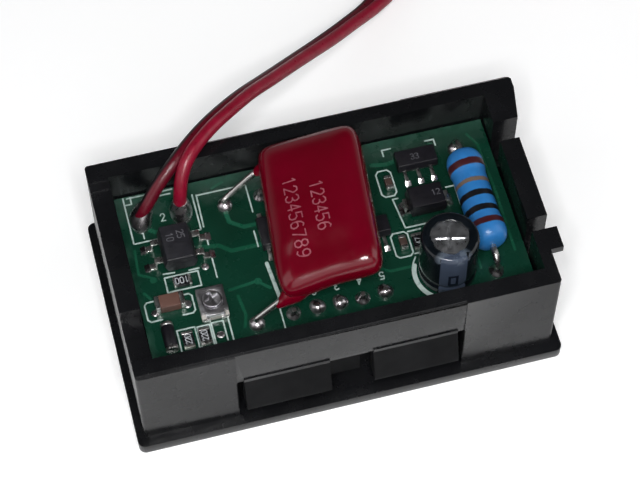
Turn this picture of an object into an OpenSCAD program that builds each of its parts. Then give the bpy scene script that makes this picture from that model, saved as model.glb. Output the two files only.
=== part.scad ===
// Two-wire AC panel voltmeter, resting on its bezel with the open back up.
// X runs along the bezel, Y across it, Z from the front face to the back.

/* [Bezel and window] */
// Length of the bezel
bezel_l = 48; // [47:0.5:54]
// Width of the bezel
bezel_w = 29; // [28.5:0.5:33]
// Thickness of the bezel
bezel_t = 1.5; // [1.2:0.1:2.2]
// Corner radius of the bezel
bezel_r = 0.8; // [0.4:0.1:2]
// Length of the display window
window_l = 34; // [30:0.5:35.5]
// Width of the display window
window_w = 15; // [13.5:0.5:16.5]
// Thickness of the tinted filter
filter_t = 0.6; // [0.4:0.1:0.8]
// How far the filter laps over the window's edge
filter_lap = 1.2; // [0.8:0.1:1.5]
// Gap around the filter in its recess
filter_gap = 0.1; // [0.05:0.05:0.2]

/* [Case] */
// Length of the case body behind the bezel
body_l = 46.1; // [45.6:0.1:46.6]
// Width of the case body behind the bezel
body_w = 26.7; // [26.5:0.1:27.1]
// Corner radius of the case body
body_r = 0.4; // [0.2:0.1:1]
// Height of the rim above the front face
rim_z = 15.5; // [14.5:0.5:18]
// Thickness of the long walls
long_wall = 2; // [1.8:0.05:2.1]
// Thickness of the short wall at the wire end
wire_end_wall = 2.25; // [2:0.05:2.4]
// Thickness of the short wall at the clip end
clip_end_wall = 1.3; // [1.1:0.05:1.4]
// Size of the chamfer along the rim
rim_chamfer = 0.35; // [0.1:0.05:0.6]
// Depth of the shallow band between rim and snap window
band_depth = 0.15; // [0.05:0.05:0.3]
// Length of a corner post under the board
post_l = 1.9; // [1.2:0.1:2]
// Width of a corner post under the board
post_w = 2.4; // [1.2:0.1:2.6]

/* [Snap tabs] */
// Length of the window that holds a pair of tabs
snap_window_l = 25.1; // [24:0.1:28]
// Height of the window's upper edge
snap_window_z = 9.2; // [8.6:0.1:9.4]
// Length of one snap tab
tab_l = 9.4; // [7:0.1:9.8]
// Distance between the middles of the two tabs
tab_pitch = 14.2; // [13.6:0.1:14.6]
// Height of a tab's lower edge
tab_z = 4.2; // [3.6:0.1:5]
// How far a tab's lower edge stands out of the wall
tab_proud = 1.05; // [0.6:0.05:1.1]
// Thickness of a tab at its lower edge
tab_t = 2.1; // [1.6:0.1:2.4]
// Length of the web between the tabs
web_l = 3.6; // [2.5:0.1:4]
// How far the web lies behind the wall's face
web_inset = 1; // [0.6:0.1:1.4]

/* [Side clips] */
// Length of the side clip arm
arm_l = 10.2; // [8:0.1:11]
// Thickness of the clip arm
arm_t = 2.1; // [1.5:0.1:2.3]
// Inset of the clip arm from the inner face of its wall
arm_gap = 0.1; // [0:0.05:0.2]
// Width of the slots beside the arm
arm_slot = 1.6; // [1:0.1:2.4]
// Height at which the arm's slots end
arm_root_z = 5.5; // [4:0.5:7]
// How far the corner ear stands out at the corner
ear_out = 2.25; // [1:0.05:2.6]
// Length of the corner ear along the short side
ear_l = 5.7; // [4:0.1:5.7]
// Height of the ear's lower point
ear_z = 5.5; // [4:0.5:8]
// How far the small ledge stands out
ledge_out = 1.45; // [0.6:0.05:1.8]
// Length of the small ledge
ledge_l = 3.2; // [2:0.1:4]
// Thickness of the small ledge
ledge_t = 1; // [0.6:0.1:2]

/* [Display] */
// Length of the display block
display_l = 37.6; // [36:0.1:37.8]
// Width of the display block
display_w = 19; // [18:0.1:19.2]
// Depth of the display block
display_h = 8; // [7.6:0.1:8.4]
// Height of one digit
digit_h = 14.2; // [11:0.1:14.6]
// Distance between two digits
digit_pitch = 12.7; // [11:0.1:12.8]
// Width of a lit segment
segment_w = 1.5; // [1:0.1:1.8]
// Depth of a lit segment
segment_t = 0.6; // [0.3:0.1:1]
// Slant of the digits in degrees
digit_slant = 8; // [0:1:10]
// Number of pins in one row
pins_per_row = 5; // [3:1:6]
// Distance between two pins
pin_pitch = 2.54; // [2:0.02:2.6]
// Distance between the two rows of pins
pin_rows = 15.24; // [14:0.02:16]
// Diameter of a display pin
pin_d = 0.5; // [0.4:0.05:0.6]

/* [Board] */
// Thickness of the circuit board
board_t = 1.5; // [1.2:0.1:1.8]
// Gap between the board and each wall
board_gap = 0.2; // [0.1:0.05:0.3]
// Gap around a lead in its hole
hole_gap = 0.1; // [0.05:0.01:0.15]

/* [Film capacitor] */
// Width of the film capacitor
film_w = 11.4; // [10:0.1:12]
// Length of the film capacitor
film_l = 17.6; // [15:0.1:18]
// Thickness of the film capacitor
film_t = 5.2; // [4.6:0.1:6.2]
// Rounding of the film capacitor
film_r = 1.8; // [1:0.1:2.2]
// Height of the film capacitor's lowest edge over the board
film_lift = 1.95; // [1.9:0.05:3]
// Turn of the film capacitor on the board in degrees
film_turn = -5.6; // [-7:0.2:0]
// Tilt of the film capacitor away from its leads in degrees
film_tilt = 14.5; // [0:0.5:18]
// Distance between the capacitor's leads
film_lead_pitch = 15.2; // [14:0.1:16]
// Diameter of the capacitor's leads
film_lead_d = 0.6; // [0.5:0.05:0.8]

/* [Electrolytic capacitor] */
// Diameter over the sleeve
can_d = 6.3; // [5:0.1:6.4]
// Height over the board
can_h = 7.4; // [6:0.1:9]
// Thickness of the sleeve
sleeve_t = 0.2; // [0.15:0.05:0.3]
// Width of the sleeve's lip over the can's end
sleeve_lip = 0.45; // [0.3:0.05:0.7]
// Height of the rubber seal
seal_h = 0.9; // [0.6:0.1:1.5]
// Distance between the two leads
can_lead_pitch = 2; // [1.5:0.1:2.5]
// Diameter of the leads
can_lead_d = 0.5; // [0.4:0.05:0.6]

/* [Power resistor] */
// Diameter of the resistor's end caps
resistor_d = 4.1; // [3.4:0.1:4.4]
// Diameter of the resistor's middle
resistor_waist_d = 3.8; // [3:0.1:4]
// Length of the resistor
resistor_l = 12.2; // [11:0.1:13]
// Gap under the resistor
resistor_lift = 0.2; // [0.1:0.05:0.5]
// Distance between its lead joints
resistor_lead_pitch = 16; // [15.4:0.1:16.6]
// Diameter of its leads
resistor_lead_d = 0.7; // [0.5:0.05:0.8]

/* [Chips] */
// Length of the bridge rectifier's body
bridge_l = 4.4; // [3.8:0.1:4.9]
// Width of the bridge rectifier's body
bridge_w = 3.7; // [3.4:0.1:4]
// Height of the bridge rectifier's body
bridge_h = 2.4; // [2:0.1:2.7]
// Distance between the rectifier's leads along its side
bridge_lead_pitch = 2.3; // [2:0.1:2.6]
// Length of the regulator's body
regulator_l = 4.5; // [4.2:0.1:4.7]
// Width of the regulator's body
regulator_w = 2.4; // [2.2:0.1:2.6]
// Height of the regulator's body
regulator_h = 1.4; // [1.2:0.1:1.6]
// Distance between the regulator's leads
regulator_lead_pitch = 1.5; // [1.3:0.05:1.6]
// Length of the suppressor diode's body
suppressor_l = 4.2; // [3.9:0.1:4.4]
// Width of the suppressor diode's body
suppressor_w = 2.6; // [2.4:0.1:2.8]
// Height of the suppressor diode's body
suppressor_h = 2; // [1.8:0.1:2.4]
// Length of the controller's body
controller_l = 8.7; // [8.2:0.1:9]
// Width of the controller's body
controller_w = 3.9; // [3.6:0.1:4.1]
// Height of the controller's body
controller_h = 1.45; // [1.2:0.05:1.5]
// Number of leads on each side of the controller
controller_leads = 7; // [4:1:7]
// Distance between the controller's leads
controller_pitch = 1.27; // [1:0.01:1.27]
// Thickness of flat leads
lead_t = 0.2; // [0.15:0.05:0.25]
// Gap under the chips' bodies
chip_lift = 0.15; // [0.1:0.05:0.2]

/* [Chip parts] */
// Length of the brown ceramic capacitor
ceramic_l = 3.2; // [2.8:0.1:3.4]
// Width of the brown ceramic capacitor
ceramic_w = 1.6; // [1.2:0.1:1.8]
// Height of the brown ceramic capacitor
ceramic_h = 1.2; // [0.8:0.1:1.6]
// Length of a metal end on the brown capacitor
ceramic_end = 0.5; // [0.3:0.05:0.6]
// Length of a small capacitor
small_l = 1.6; // [1.4:0.1:1.8]
// Width of a small capacitor
small_w = 0.8; // [0.6:0.1:1]
// Height of a small capacitor
small_h = 0.75; // [0.5:0.05:0.9]
// Length of a chip resistor
chip_l = 2; // [1.8:0.1:2.1]
// Width of a chip resistor
chip_w = 1.2; // [0.8:0.1:1.25]
// Height of a chip resistor
chip_h = 0.5; // [0.35:0.05:0.6]
// Length of a metal end on the small chips
chip_end = 0.35; // [0.2:0.05:0.45]
// Length of the glass diode between its ends
diode_l = 2.5; // [2:0.1:2.8]
// Diameter of the glass diode
diode_d = 1.4; // [1.2:0.1:1.6]
// Length of a metal end on the diode
diode_end = 0.4; // [0.3:0.05:0.5]

/* [Trimmer] */
// Side of the trimmer's ceramic base
trimmer_s = 3; // [2.8:0.1:3.2]
// Thickness of the ceramic base
trimmer_base_t = 0.6; // [0.5:0.1:0.8]
// Thickness of the metal frame on the base
trimmer_frame_t = 0.55; // [0.4:0.05:0.7]
// Diameter of the turning disc
rotor_d = 2.1; // [1.8:0.1:2.3]
// How far the disc stands out of the frame
rotor_proud = 0.2; // [0.1:0.05:0.4]
// Running gap around the disc
rotor_gap = 0.05; // [0.03:0.01:0.09]
// Width of the screwdriver slot
slot_w = 0.4; // [0.3:0.05:0.5]
// Depth of the screwdriver slot
slot_depth = 0.3; // [0.2:0.05:0.35]
// Diameter of the disc's centre pin
rotor_pin_d = 0.7; // [0.5:0.05:0.9]

/* [Solder] */
// Diameter of a wire's solder joint
wire_joint_d = 2.3; // [1.9:0.1:2.6]
// Height of a wire's solder joint
wire_joint_h = 1.1; // [0.9:0.1:1.5]
// Diameter of a lead's solder joint
joint_d = 1.7; // [1.4:0.1:2]
// Height of a lead's solder joint
joint_h = 0.9; // [0.7:0.1:1]

/* [Wires] */
// Diameter of a wire over its insulation
wire_d = 1.5; // [1.3:0.1:1.6]
// Diameter of the tinned conductor
core_d = 0.9; // [0.6:0.1:1]
// Length of the stripped end
strip_l = 5; // [3:0.5:8]
// Mean diameter of a wire's coil
coil_d = 16.5; // [15:0.5:18]

/* [Hidden] */
$fn = 48;
eps = 0.01;

// The body sits a little off the bezel's middle.
body_x = -0.1;
body_x0 = body_x - body_l / 2;
body_x1 = body_x + body_l / 2;
body_y = body_w / 2;
cavity_x0 = body_x0 + wire_end_wall;
cavity_x1 = body_x1 - clip_end_wall;
cavity_y = body_y - long_wall;

// Heights from the front face to the board's upper face.
display_z = bezel_t;
board_z = display_z + display_h;
top_z = board_z + board_t;

// The board fills the cavity apart from its gap.
board_x0 = cavity_x0 + board_gap;
board_x1 = cavity_x1 - board_gap;
board_y = cavity_y - board_gap;
display_x = 0.2;

// Places on the board, from its wire end, laid out for a board 42.15 long and grown with it.
layout_l = 42.15;
layout_k = (board_x1 - board_x0) / layout_l;
function at(x, y) = [board_x0 + x * layout_k, y * layout_k];
wire_x = [at(2.35, 0)[0], at(6.85, 0)[0]];
wire_y = 7.8 * layout_k;
bridge_at = at(5.4, 2.85);
big_resistor_at = at(5.1, -0.85);
ceramic_at = at(3.2, -3.25);
trimmer_at = at(7.6, -4.45);
signal_diode_at = at(2.25, -7.4);
small_resistors_at = [at(4.15, -8), at(5.95, -8)];
film_at = at(20.9, 1.1);
film_lead_x = at(11.7, 0)[0];
controller_at = at(18.8, 2.3);
can_at = at(layout_l - 9, -6.6);
resistor_at = at(layout_l - 3.85, 0);
regulators_at = [at(layout_l - 8.65, 7.4), at(26.1, 0)];
suppressor_at = at(layout_l - 9, 1.9);
small_capacitors_at = [at(layout_l - 12.3, 5.4), at(layout_l - 12.75, -2.3)];
side_resistor_at = at(layout_l - 11.1, -2.5);

// Wire routes, from the solder joint over the far rim and down to the ground.
red_start = [wire_x[1], wire_y, top_z + wire_joint_h];
red_route = [
    [-13.8, 7.9, 13], [-13.6, 8.3, 14.4], [-13.1, 9.3, 15.8], [-12.2, 10.5, 16.8],
    [-10.8, 11.9, 17.3], [-8.6, 13.9, 17.1], [-6, 16.2, 16.1], [-3.2, 18.8, 14.5],
    [-0.2, 21.4, 12.4], [4.2, 25.2, 9.4], [8.8, 28.9, 6.6], [12.2, 31.7, 4.8],
    [15.4, 34.2, 3.3], [18.6, 37, 2.1], [21.6, 39.9, 1.2], [24.6, 42.8, 0.85],
    [27.6, 45.7, 0.75], [30.8, 48.7, 0.75],
];
black_start = [wire_x[0], wire_y, top_z + wire_joint_h];
black_route = [
    [-18, 7.9, 12.6], [-17.4, 8.3, 13.3], [-16.3, 9.1, 14.4], [-15.1, 9.9, 15.4],
    [-13.4, 11.1, 16.3], [-11.7, 12.7, 16.4], [-9.5, 14.7, 16.1], [-6.8, 17.1, 15.1],
    [-4, 19.6, 13.5], [-1, 22.2, 11.4], [3.4, 26, 8.4], [8, 29.8, 5.6],
    [11.4, 32.6, 3.8], [14.5, 35.3, 2.2], [17.4, 38.2, 1.1], [20.2, 41, 0.75],
];
// Middle of each coil, and the loose end that leaves its upper layer.
red_coil_at = [39.8, 44.8];
black_coil_at = [15.8, 49.4];
red_tail = [[48.8, 42, 2], [48.8, 38.5, 1.2], [48.8, 35, 0.75]];
black_tail = [[13.1, 58.4, 2], [9.6, 58.4, 1.2], [6.1, 58.4, 0.75]];
coil_r = coil_d / 2;

// ---- general shapes ----

module plate(l, w, h, r) {
    linear_extrude(h) union() {
        square([l - 2 * r, w], center = true);
        square([l, w - 2 * r], center = true);
        for (x = [-1, 1], y = [-1, 1])
            translate([x * (l / 2 - r), y * (w / 2 - r)]) circle(r);
    }
}

module block(l, w, h) {
    translate([-l / 2, -w / 2, 0]) cube([l, w, h]);
}

// Moulded chip body, narrower at its top and its foot than at its waist.
module moulded(l, w, h, draft) {
    rotate([90, 0, 0]) translate([0, 0, -w / 2]) linear_extrude(w)
        polygon([
            [-l / 2 + draft, 0], [l / 2 - draft, 0], [l / 2, h * 0.45],
            [l / 2 - draft, h], [-l / 2 + draft, h], [-l / 2, h * 0.45],
        ]);
}

// Bent flat lead: shoulder at height h, foot on the board, running out along +X.
module gull_lead(w, reach, h) {
    rotate([90, 0, 0]) translate([0, 0, -w / 2]) linear_extrude(w)
        polygon([
            [0, h], [0, h + lead_t], [reach * 0.45 + lead_t, h + lead_t],
            [reach * 0.45 + lead_t, lead_t], [reach, lead_t], [reach, 0],
            [reach * 0.45, 0], [reach * 0.45, h],
        ]);
}

// Solder joint: a dome with a flat crown around its lead.
module solder_cone(d, h, crown) {
    rotate_extrude() polygon(concat(
        [[0, 0], [d / 2, 0]],
        [for (t = [0.2 : 0.2 : 1]) [d / 2 - (d - crown) / 2 * pow(t, 1.5), h * t]],
        [[0, h]]
    ));
}

// Solder fillet beside a flat lead, falling away along +X.
module fillet(l, w, h) {
    rotate([90, 0, 0]) translate([0, 0, -w / 2]) linear_extrude(w)
        polygon([[0, 0], [l, 0], [l * 0.55, h * 0.35], [0, h]]);
}

// A pair of end caps with the chip between them, along X.
module chip_body(l, w, h, cap) {
    translate([0, 0, top_z]) block(l - 2 * cap, w, h);
}

module chip_ends(l, w, h, cap) {
    for (s = [-1, 1])
        translate([s * (l - cap) / 2, 0, top_z]) block(cap, w, h);
}

// ---- sweeping a cord ----

function spline(a, b, c, d, t) =
    0.5 * (2 * b + (c - a) * t + (2 * a - 5 * b + 4 * c - d) * t * t
        + (3 * b - a - 3 * c + d) * t * t * t);
function smoothed(points, n) = [
    for (i = [0 : len(points) - 2], k = [0 : n - 1])
        spline(points[max(i - 1, 0)], points[i], points[i + 1],
            points[min(i + 2, len(points) - 1)], k / n),
    points[len(points) - 1],
];
function unit(v) = v / norm(v);
function heading(path, i) = unit(path[min(i + 1, len(path) - 1)] - path[max(i - 1, 0)]);
function ring(at, along, side, r, n) =
    let (u = unit(side - (side * along) * along), v = cross(along, u))
    [for (k = [0 : n - 1]) at + r * (cos(360 * k / n) * u + sin(360 * k / n) * v)];

module cord(path, side, d) {
    n = 8;
    m = len(path);
    points = [for (i = [0 : m - 1]) each ring(path[i], heading(path, i), side, d / 2, n)];
    walls = [for (i = [0 : m - 2], k = [0 : n - 1])
        [i * n + k, (i + 1) * n + k, (i + 1) * n + (k + 1) % n, i * n + (k + 1) % n]];
    start_cap = [for (k = [0 : n - 1]) k];
    end_cap = [for (k = [0 : n - 1]) m * n - 1 - k];
    polyhedron(points, concat(walls, [start_cap, end_cap]), convexity = 6);
}

module coil(at) {
    chamfer = wire_d / 3;
    inner = coil_r - wire_d;
    outer = coil_r + wire_d;
    translate([at[0], at[1], 0]) rotate_extrude() polygon([
        [inner, chamfer], [inner + chamfer, 0], [outer - chamfer, 0], [outer, chamfer],
        [outer, 2 * wire_d - chamfer], [outer - chamfer, 2 * wire_d],
        [inner + chamfer, 2 * wire_d], [inner, 2 * wire_d - chamfer],
    ]);
}

module tip(tail) {
    run = tail[len(tail) - 1] - tail[len(tail) - 2];
    translate(tail[len(tail) - 1])
        rotate([0, 90, atan2(run[1], run[0])]) cylinder(d = core_d, h = strip_l);
}

// ---- case ----

module snap_tab() {
    root = body_y;
    translate([-tab_l / 2, 0, 0]) rotate([90, 0, 90]) linear_extrude(tab_l) polygon([
        [-root + tab_t - tab_proud, tab_z], [-root - tab_proud + 0.35, tab_z],
        [-root - tab_proud, tab_z + 0.35], [-root - tab_proud, tab_z + 0.9],
        [-root, snap_window_z - 0.3], [-root, snap_window_z + 0.5],
        [-root + tab_t - tab_proud, snap_window_z + 0.5],
    ]);
}

module snap_side() {
    for (x = [-1, 1]) translate([x * tab_pitch / 2, 0, 0]) snap_tab();
    translate([-web_l / 2 - 0.6, -body_y + web_inset, tab_z])
        cube([web_l, long_wall - web_inset, snap_window_z - tab_z + eps]);
}

module snap_cuts() {
    translate([-snap_window_l / 2, -body_y - 1, bezel_t])
        cube([snap_window_l, long_wall + 1 + eps, snap_window_z - bezel_t]);
    translate([-snap_window_l / 2, -body_y - 1, snap_window_z - eps])
        cube([snap_window_l, 1 + band_depth, rim_z]);
    translate([-bezel_l, -body_y, rim_z]) rotate([45, 0, 0])
        translate([0, -rim_chamfer * sqrt(0.5), -rim_chamfer * sqrt(0.5)])
            cube([bezel_l + snap_window_l / 2, rim_chamfer * sqrt(2), rim_chamfer * sqrt(2)]);
}

// Ear behind the far corner of the clip end, thinning towards the bezel.
module corner_ear() {
    x1 = body_x1 + ear_out;
    intersection() {
        translate([0, 0, ear_z]) linear_extrude(rim_z - ear_z) polygon([
            [cavity_x1 + 0.7, body_y], [x1 - 0.5, body_y], [x1, body_y - 0.6],
            [x1, body_y - 1.8], [x1 - 0.75, body_y - ear_l], [cavity_x1 + 0.7, body_y - ear_l],
        ]);
        rotate([90, 0, 0]) translate([0, 0, -body_y]) linear_extrude(body_w) polygon([
            [cavity_x1, ear_z], [body_x1, ear_z], [x1, rim_z - 4],
            [x1, rim_z], [cavity_x1, rim_z],
        ]);
    }
}

module clip_arm() {
    translate([cavity_x1 + arm_gap, -arm_l / 2, bezel_t - eps])
        cube([arm_t, arm_l, rim_z - bezel_t + eps]);
}

module housing() {
    color([0.05, 0.05, 0.055]) {
        difference() {
            union() {
                plate(bezel_l, bezel_w, bezel_t, bezel_r);
                translate([body_x, 0, 0]) plate(body_l, body_w, rim_z, body_r);
                corner_ear();
                translate([body_x1 - 1, -9.3, rim_z - ledge_t])
                    cube([ledge_out + 1, ledge_l, ledge_t]);
            }
            // inside of the case
            translate([cavity_x0, -cavity_y, bezel_t])
                cube([cavity_x1 - cavity_x0, 2 * cavity_y, rim_z]);
            // display window and the filter's recess
            translate([display_x, 0, -1]) block(window_l, window_w, bezel_t + 2);
            translate([display_x, 0, -1])
                block(window_l + 2 * (filter_lap + filter_gap),
                    window_w + 2 * (filter_lap + filter_gap), filter_t + 1);
            // both long walls
            snap_cuts();
            rotate([0, 0, 180]) snap_cuts();
            // slots beside the clip arm
            for (s = [-1, 1])
                translate([cavity_x1 - 1, s * (arm_l + arm_slot) / 2 - arm_slot / 2, arm_root_z])
                    cube([ear_out + clip_end_wall + 3, arm_slot, rim_z]);
            translate([cavity_x1 - 1, arm_l / 2 + arm_slot - eps, arm_root_z])
                cube([ear_out + clip_end_wall + 3, body_y - ear_l - arm_l / 2 - arm_slot, rim_z]);
            // steps in the rim at the wire end
            translate([body_x0 - 1, -8.2, rim_z - 1.6]) cube([wire_end_wall + 2, 2.9, 3]);
            translate([body_x0 - 1, -11.1, rim_z - 0.9]) cube([wire_end_wall + 2, 3.2, 3]);
            translate([body_x0 - 1, 8, rim_z - 0.45]) cube([wire_end_wall + 2, 2.1, 3]);
            translate([body_x0 - 1, 10.1 - eps, rim_z - 0.2]) cube([wire_end_wall + 2, 1, 3]);
        }
        clip_arm();
        snap_side();
        rotate([0, 0, 180]) snap_side();
        // corner posts carry the board
        for (x = [cavity_x0 - eps, cavity_x1 + eps - post_l], s = [-1, 1])
            translate([x, s * (cavity_y + eps - post_w / 2) - post_w / 2, bezel_t - eps])
                cube([post_l, post_w, board_z - bezel_t + eps]);
    }
}

module display_filter() {
    color([0.25, 0.02, 0.03]) translate([display_x, 0, 0])
        block(window_l + 2 * filter_lap, window_w + 2 * filter_lap, filter_t);
}

// ---- display ----

// One segment as a bar with pointed ends.
module segment(l) {
    p = segment_w / 2;
    polygon([[-l / 2, 0], [-l / 2 + p, p], [l / 2 - p, p], [l / 2, 0],
        [l / 2 - p, -p], [-l / 2 + p, -p]]);
}

// One digit, seen through the front, with its decimal point.
module digit() {
    bar_l = digit_h / 2 - segment_w / 2 - 0.1;
    half = bar_l + 0.15;
    multmatrix([[1, -tan(digit_slant), 0, 0], [0, 1, 0, 0], [0, 0, 1, 0]]) {
        for (y = [-1, 0, 1]) translate([0, y * half]) segment(bar_l);
        for (x = [-1, 1], y = [-1, 1])
            translate([x * half / 2, y * half / 2]) rotate(90) segment(bar_l);
        translate([-half / 2 - 1.6, -half]) circle(d = segment_w);
    }
}

module all_digits() {
    translate([display_x, 0, display_z]) linear_extrude(segment_t)
        for (i = [-1 : 1]) translate([i * digit_pitch, 0]) digit();
}

module display_block() {
    color([0.85, 0.85, 0.82]) difference() {
        translate([display_x, 0, display_z]) block(display_l, display_w, display_h);
        all_digits();
        for (x = pin_xs(), y = [-1, 1])
            translate([x, y * pin_rows / 2, board_z - 2]) cylinder(d = pin_d, h = 3);
    }
}

module display_segments() {
    color([0.95, 0.9, 0.88]) all_digits();
}

function pin_xs() = [for (i = [0 : pins_per_row - 1])
    display_x + (i - (pins_per_row - 1) / 2) * pin_pitch];
pin_top = top_z + joint_h + 0.1;

module display_pins() {
    color([0.8, 0.8, 0.78]) for (x = pin_xs(), y = [-1, 1])
        translate([x, y * pin_rows / 2, board_z - 2]) cylinder(d = pin_d, h = pin_top - board_z + 2);
}

// ---- board ----

function lead_places() = [
    [film_lead_x, film_lead_pitch / 2 - 0.2, film_lead_d],
    [film_lead_x, -film_lead_pitch / 2 - 0.2, film_lead_d],
    [resistor_at[0], resistor_lead_pitch / 2, resistor_lead_d],
    [resistor_at[0], -resistor_lead_pitch / 2, resistor_lead_d],
];

module circuit_board() {
    color([0.03, 0.3, 0.17]) difference() {
        translate([board_x0, -board_y, board_z])
            cube([board_x1 - board_x0, 2 * board_y, board_t]);
        for (x = pin_xs(), y = [-1, 1])
            translate([x, y * pin_rows / 2, board_z - 1])
                cylinder(d = pin_d + 2 * hole_gap, h = board_t + 2);
        for (p = lead_places())
            translate([p[0], p[1], board_z - 1]) cylinder(d = p[2] + 2 * hole_gap, h = board_t + 2);
        for (s = [-1, 1])
            translate([can_at[0] + s * can_lead_pitch / 2, can_at[1], board_z - 1])
                cylinder(d = can_lead_d + 2 * hole_gap, h = board_t + 2);
    }
}

module pin_solder() {
    color([0.78, 0.78, 0.76]) difference() {
        for (x = pin_xs(), y = [-1, 1])
            translate([x, y * pin_rows / 2, top_z]) solder_cone(joint_d, joint_h, pin_d + 0.3);
        for (x = pin_xs(), y = [-1, 1])
            translate([x, y * pin_rows / 2, top_z - 1]) cylinder(d = pin_d, h = joint_h + 2);
    }
}

module lead_solder() {
    color([0.78, 0.78, 0.76]) difference() {
        for (p = lead_places())
            translate([p[0], p[1], top_z]) solder_cone(joint_d, joint_h, p[2] + 0.3);
        for (p = lead_places())
            translate([p[0], p[1], top_z - 1]) cylinder(d = p[2], h = joint_h + 2);
    }
}

module wire_solder() {
    color([0.78, 0.78, 0.76]) for (x = wire_x)
        translate([x, wire_y, top_z]) solder_cone(wire_joint_d, wire_joint_h, wire_d + 0.1);
}

// ---- film capacitor ----

// Middle of the tilted body, and of the side that its leads leave.
film_z = top_z + film_lift + film_r + (film_w / 2 - film_r) * sin(film_tilt)
    + (film_t / 2 - film_r) * cos(film_tilt);
film_lead_z = round((film_z - film_w / 2 * sin(film_tilt)) * 20) / 20;

// A point of the tilted capacitor, measured from its middle, in the part's frame.
function on_film(x, y, z) =
    let (level = x * cos(film_tilt) - z * sin(film_tilt))
    [
        film_at[0] + level * cos(film_turn) - y * sin(film_turn),
        film_at[1] + level * sin(film_turn) + y * cos(film_turn),
        film_z + x * sin(film_tilt) + z * cos(film_tilt),
    ];

module film_capacitor() {
    color([0.5, 0.01, 0.06]) hull() {
        for (x = [-1, 1], y = [-1, 1], z = [-1, 1])
            translate(on_film(x * (film_w / 2 - film_r), y * (film_l / 2 - film_r),
                z * (film_t / 2 - film_r))) sphere(film_r, $fn = 28);
    }
}

// Up from the board, round a bend and on to the capacitor's flat side.
module film_lead(foot, s) {
    side = on_film(-film_w / 2, s * (film_l / 2 - film_r - film_lead_d / 2), 0);
    run = [side[0] - foot[0], side[1] - foot[1]];
    bend_r = 1;
    difference() {
        translate([foot[0], foot[1], 0]) rotate(atan2(run[1], run[0])) {
            translate([0, 0, board_z]) cylinder(d = film_lead_d, h = film_lead_z - bend_r - board_z);
            translate([bend_r, 0, film_lead_z - bend_r]) rotate([90, 0, 180])
                rotate_extrude(angle = 90) translate([bend_r, 0]) circle(d = film_lead_d);
            translate([bend_r, 0, film_lead_z]) rotate([0, 90, 0])
                cylinder(d = film_lead_d, h = norm(run) - bend_r + film_lead_d);
        }
        translate([film_at[0], film_at[1], film_z]) rotate([0, -film_tilt, film_turn])
            translate([-film_w / 2, -film_l, -film_t]) cube([film_w, 2 * film_l, 2 * film_t]);
    }
}

module film_capacitor_leads() {
    color([0.75, 0.75, 0.74]) for (s = [-1, 1])
        film_lead([film_lead_x, s * film_lead_pitch / 2 - 0.2], s);
}

// ---- electrolytic capacitor ----

can_z0 = top_z + 0.2;
can_z1 = top_z + can_h;
can_in = can_d / 2 - sleeve_t;

module electrolytic_can() {
    color([0.75, 0.76, 0.78]) translate([can_at[0], can_at[1], 0]) difference() {
        translate([0, 0, can_z0 + seal_h]) cylinder(r = can_in, h = can_z1 - sleeve_t - can_z0 - seal_h);
        for (a = [0, 90]) rotate(a + 12)
            translate([-can_in, -0.15, can_z1 - sleeve_t - 0.15]) cube([2 * can_in, 0.3, 1]);
    }
}

module electrolytic_sleeve() {
    color([0.05, 0.05, 0.07]) translate([can_at[0], can_at[1], 0]) rotate_extrude() polygon([
        [can_in, can_z0], [can_d / 2, can_z0], [can_d / 2, can_z1 - 0.3], [can_d / 2 - 0.3, can_z1],
        [can_in - sleeve_lip, can_z1], [can_in - sleeve_lip, can_z1 - sleeve_t],
        [can_in, can_z1 - sleeve_t],
    ]);
}

module electrolytic_seal() {
    color([0.1, 0.1, 0.1]) translate([can_at[0], can_at[1], can_z0]) difference() {
        cylinder(r = can_in, h = seal_h);
        for (s = [-1, 1]) translate([s * can_lead_pitch / 2, 0, -1])
            cylinder(d = can_lead_d, h = seal_h + 2);
    }
}

module electrolytic_leads() {
    color([0.75, 0.75, 0.74]) for (s = [-1, 1])
        translate([can_at[0] + s * can_lead_pitch / 2, can_at[1], board_z])
            cylinder(d = can_lead_d, h = can_z0 + seal_h - board_z);
}

// ---- power resistor ----

resistor_z = top_z + resistor_d / 2 + resistor_lift;

module power_resistor() {
    cap_l = 2.9;
    r = resistor_d / 2;
    w = resistor_waist_d / 2;
    h = resistor_l / 2;
    half = [
        [resistor_lead_d / 2, h], [r * 0.45, h - 0.05], [r * 0.75, h - 0.35], [r * 0.93, h - 0.85],
        [r, h - 1.5], [r, h - cap_l + 0.6], [w, h - cap_l],
    ];
    color([0.16, 0.5, 0.8]) translate([resistor_at[0], resistor_at[1], resistor_z])
        rotate([90, 0, 0]) rotate_extrude() polygon(concat(
            [for (p = half) p],
            [for (i = [len(half) - 1 : -1 : 0]) [half[i][0], -half[i][1]]]
        ));
}

module power_resistor_leads() {
    far = resistor_lead_pitch / 2;
    bend_r = 1.2;
    color([0.78, 0.78, 0.77]) translate([resistor_at[0], resistor_at[1], 0]) {
        translate([0, far - bend_r, resistor_z]) rotate([90, 0, 0])
            cylinder(d = resistor_lead_d, h = 2 * (far - bend_r));
        for (s = [0, 180]) rotate(s) {
            translate([0, far - bend_r, resistor_z - bend_r]) rotate([90, 0, 90])
                rotate_extrude(angle = 90) translate([bend_r, 0]) circle(d = resistor_lead_d);
            translate([0, far, board_z])
                cylinder(d = resistor_lead_d, h = resistor_z - bend_r - board_z);
        }
    }
}

// ---- chips ----

module bridge_rectifier() {
    color([0.07, 0.07, 0.08]) translate([bridge_at[0], bridge_at[1], top_z + chip_lift])
        moulded(bridge_w, bridge_l, bridge_h, 0.35);
}

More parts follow.
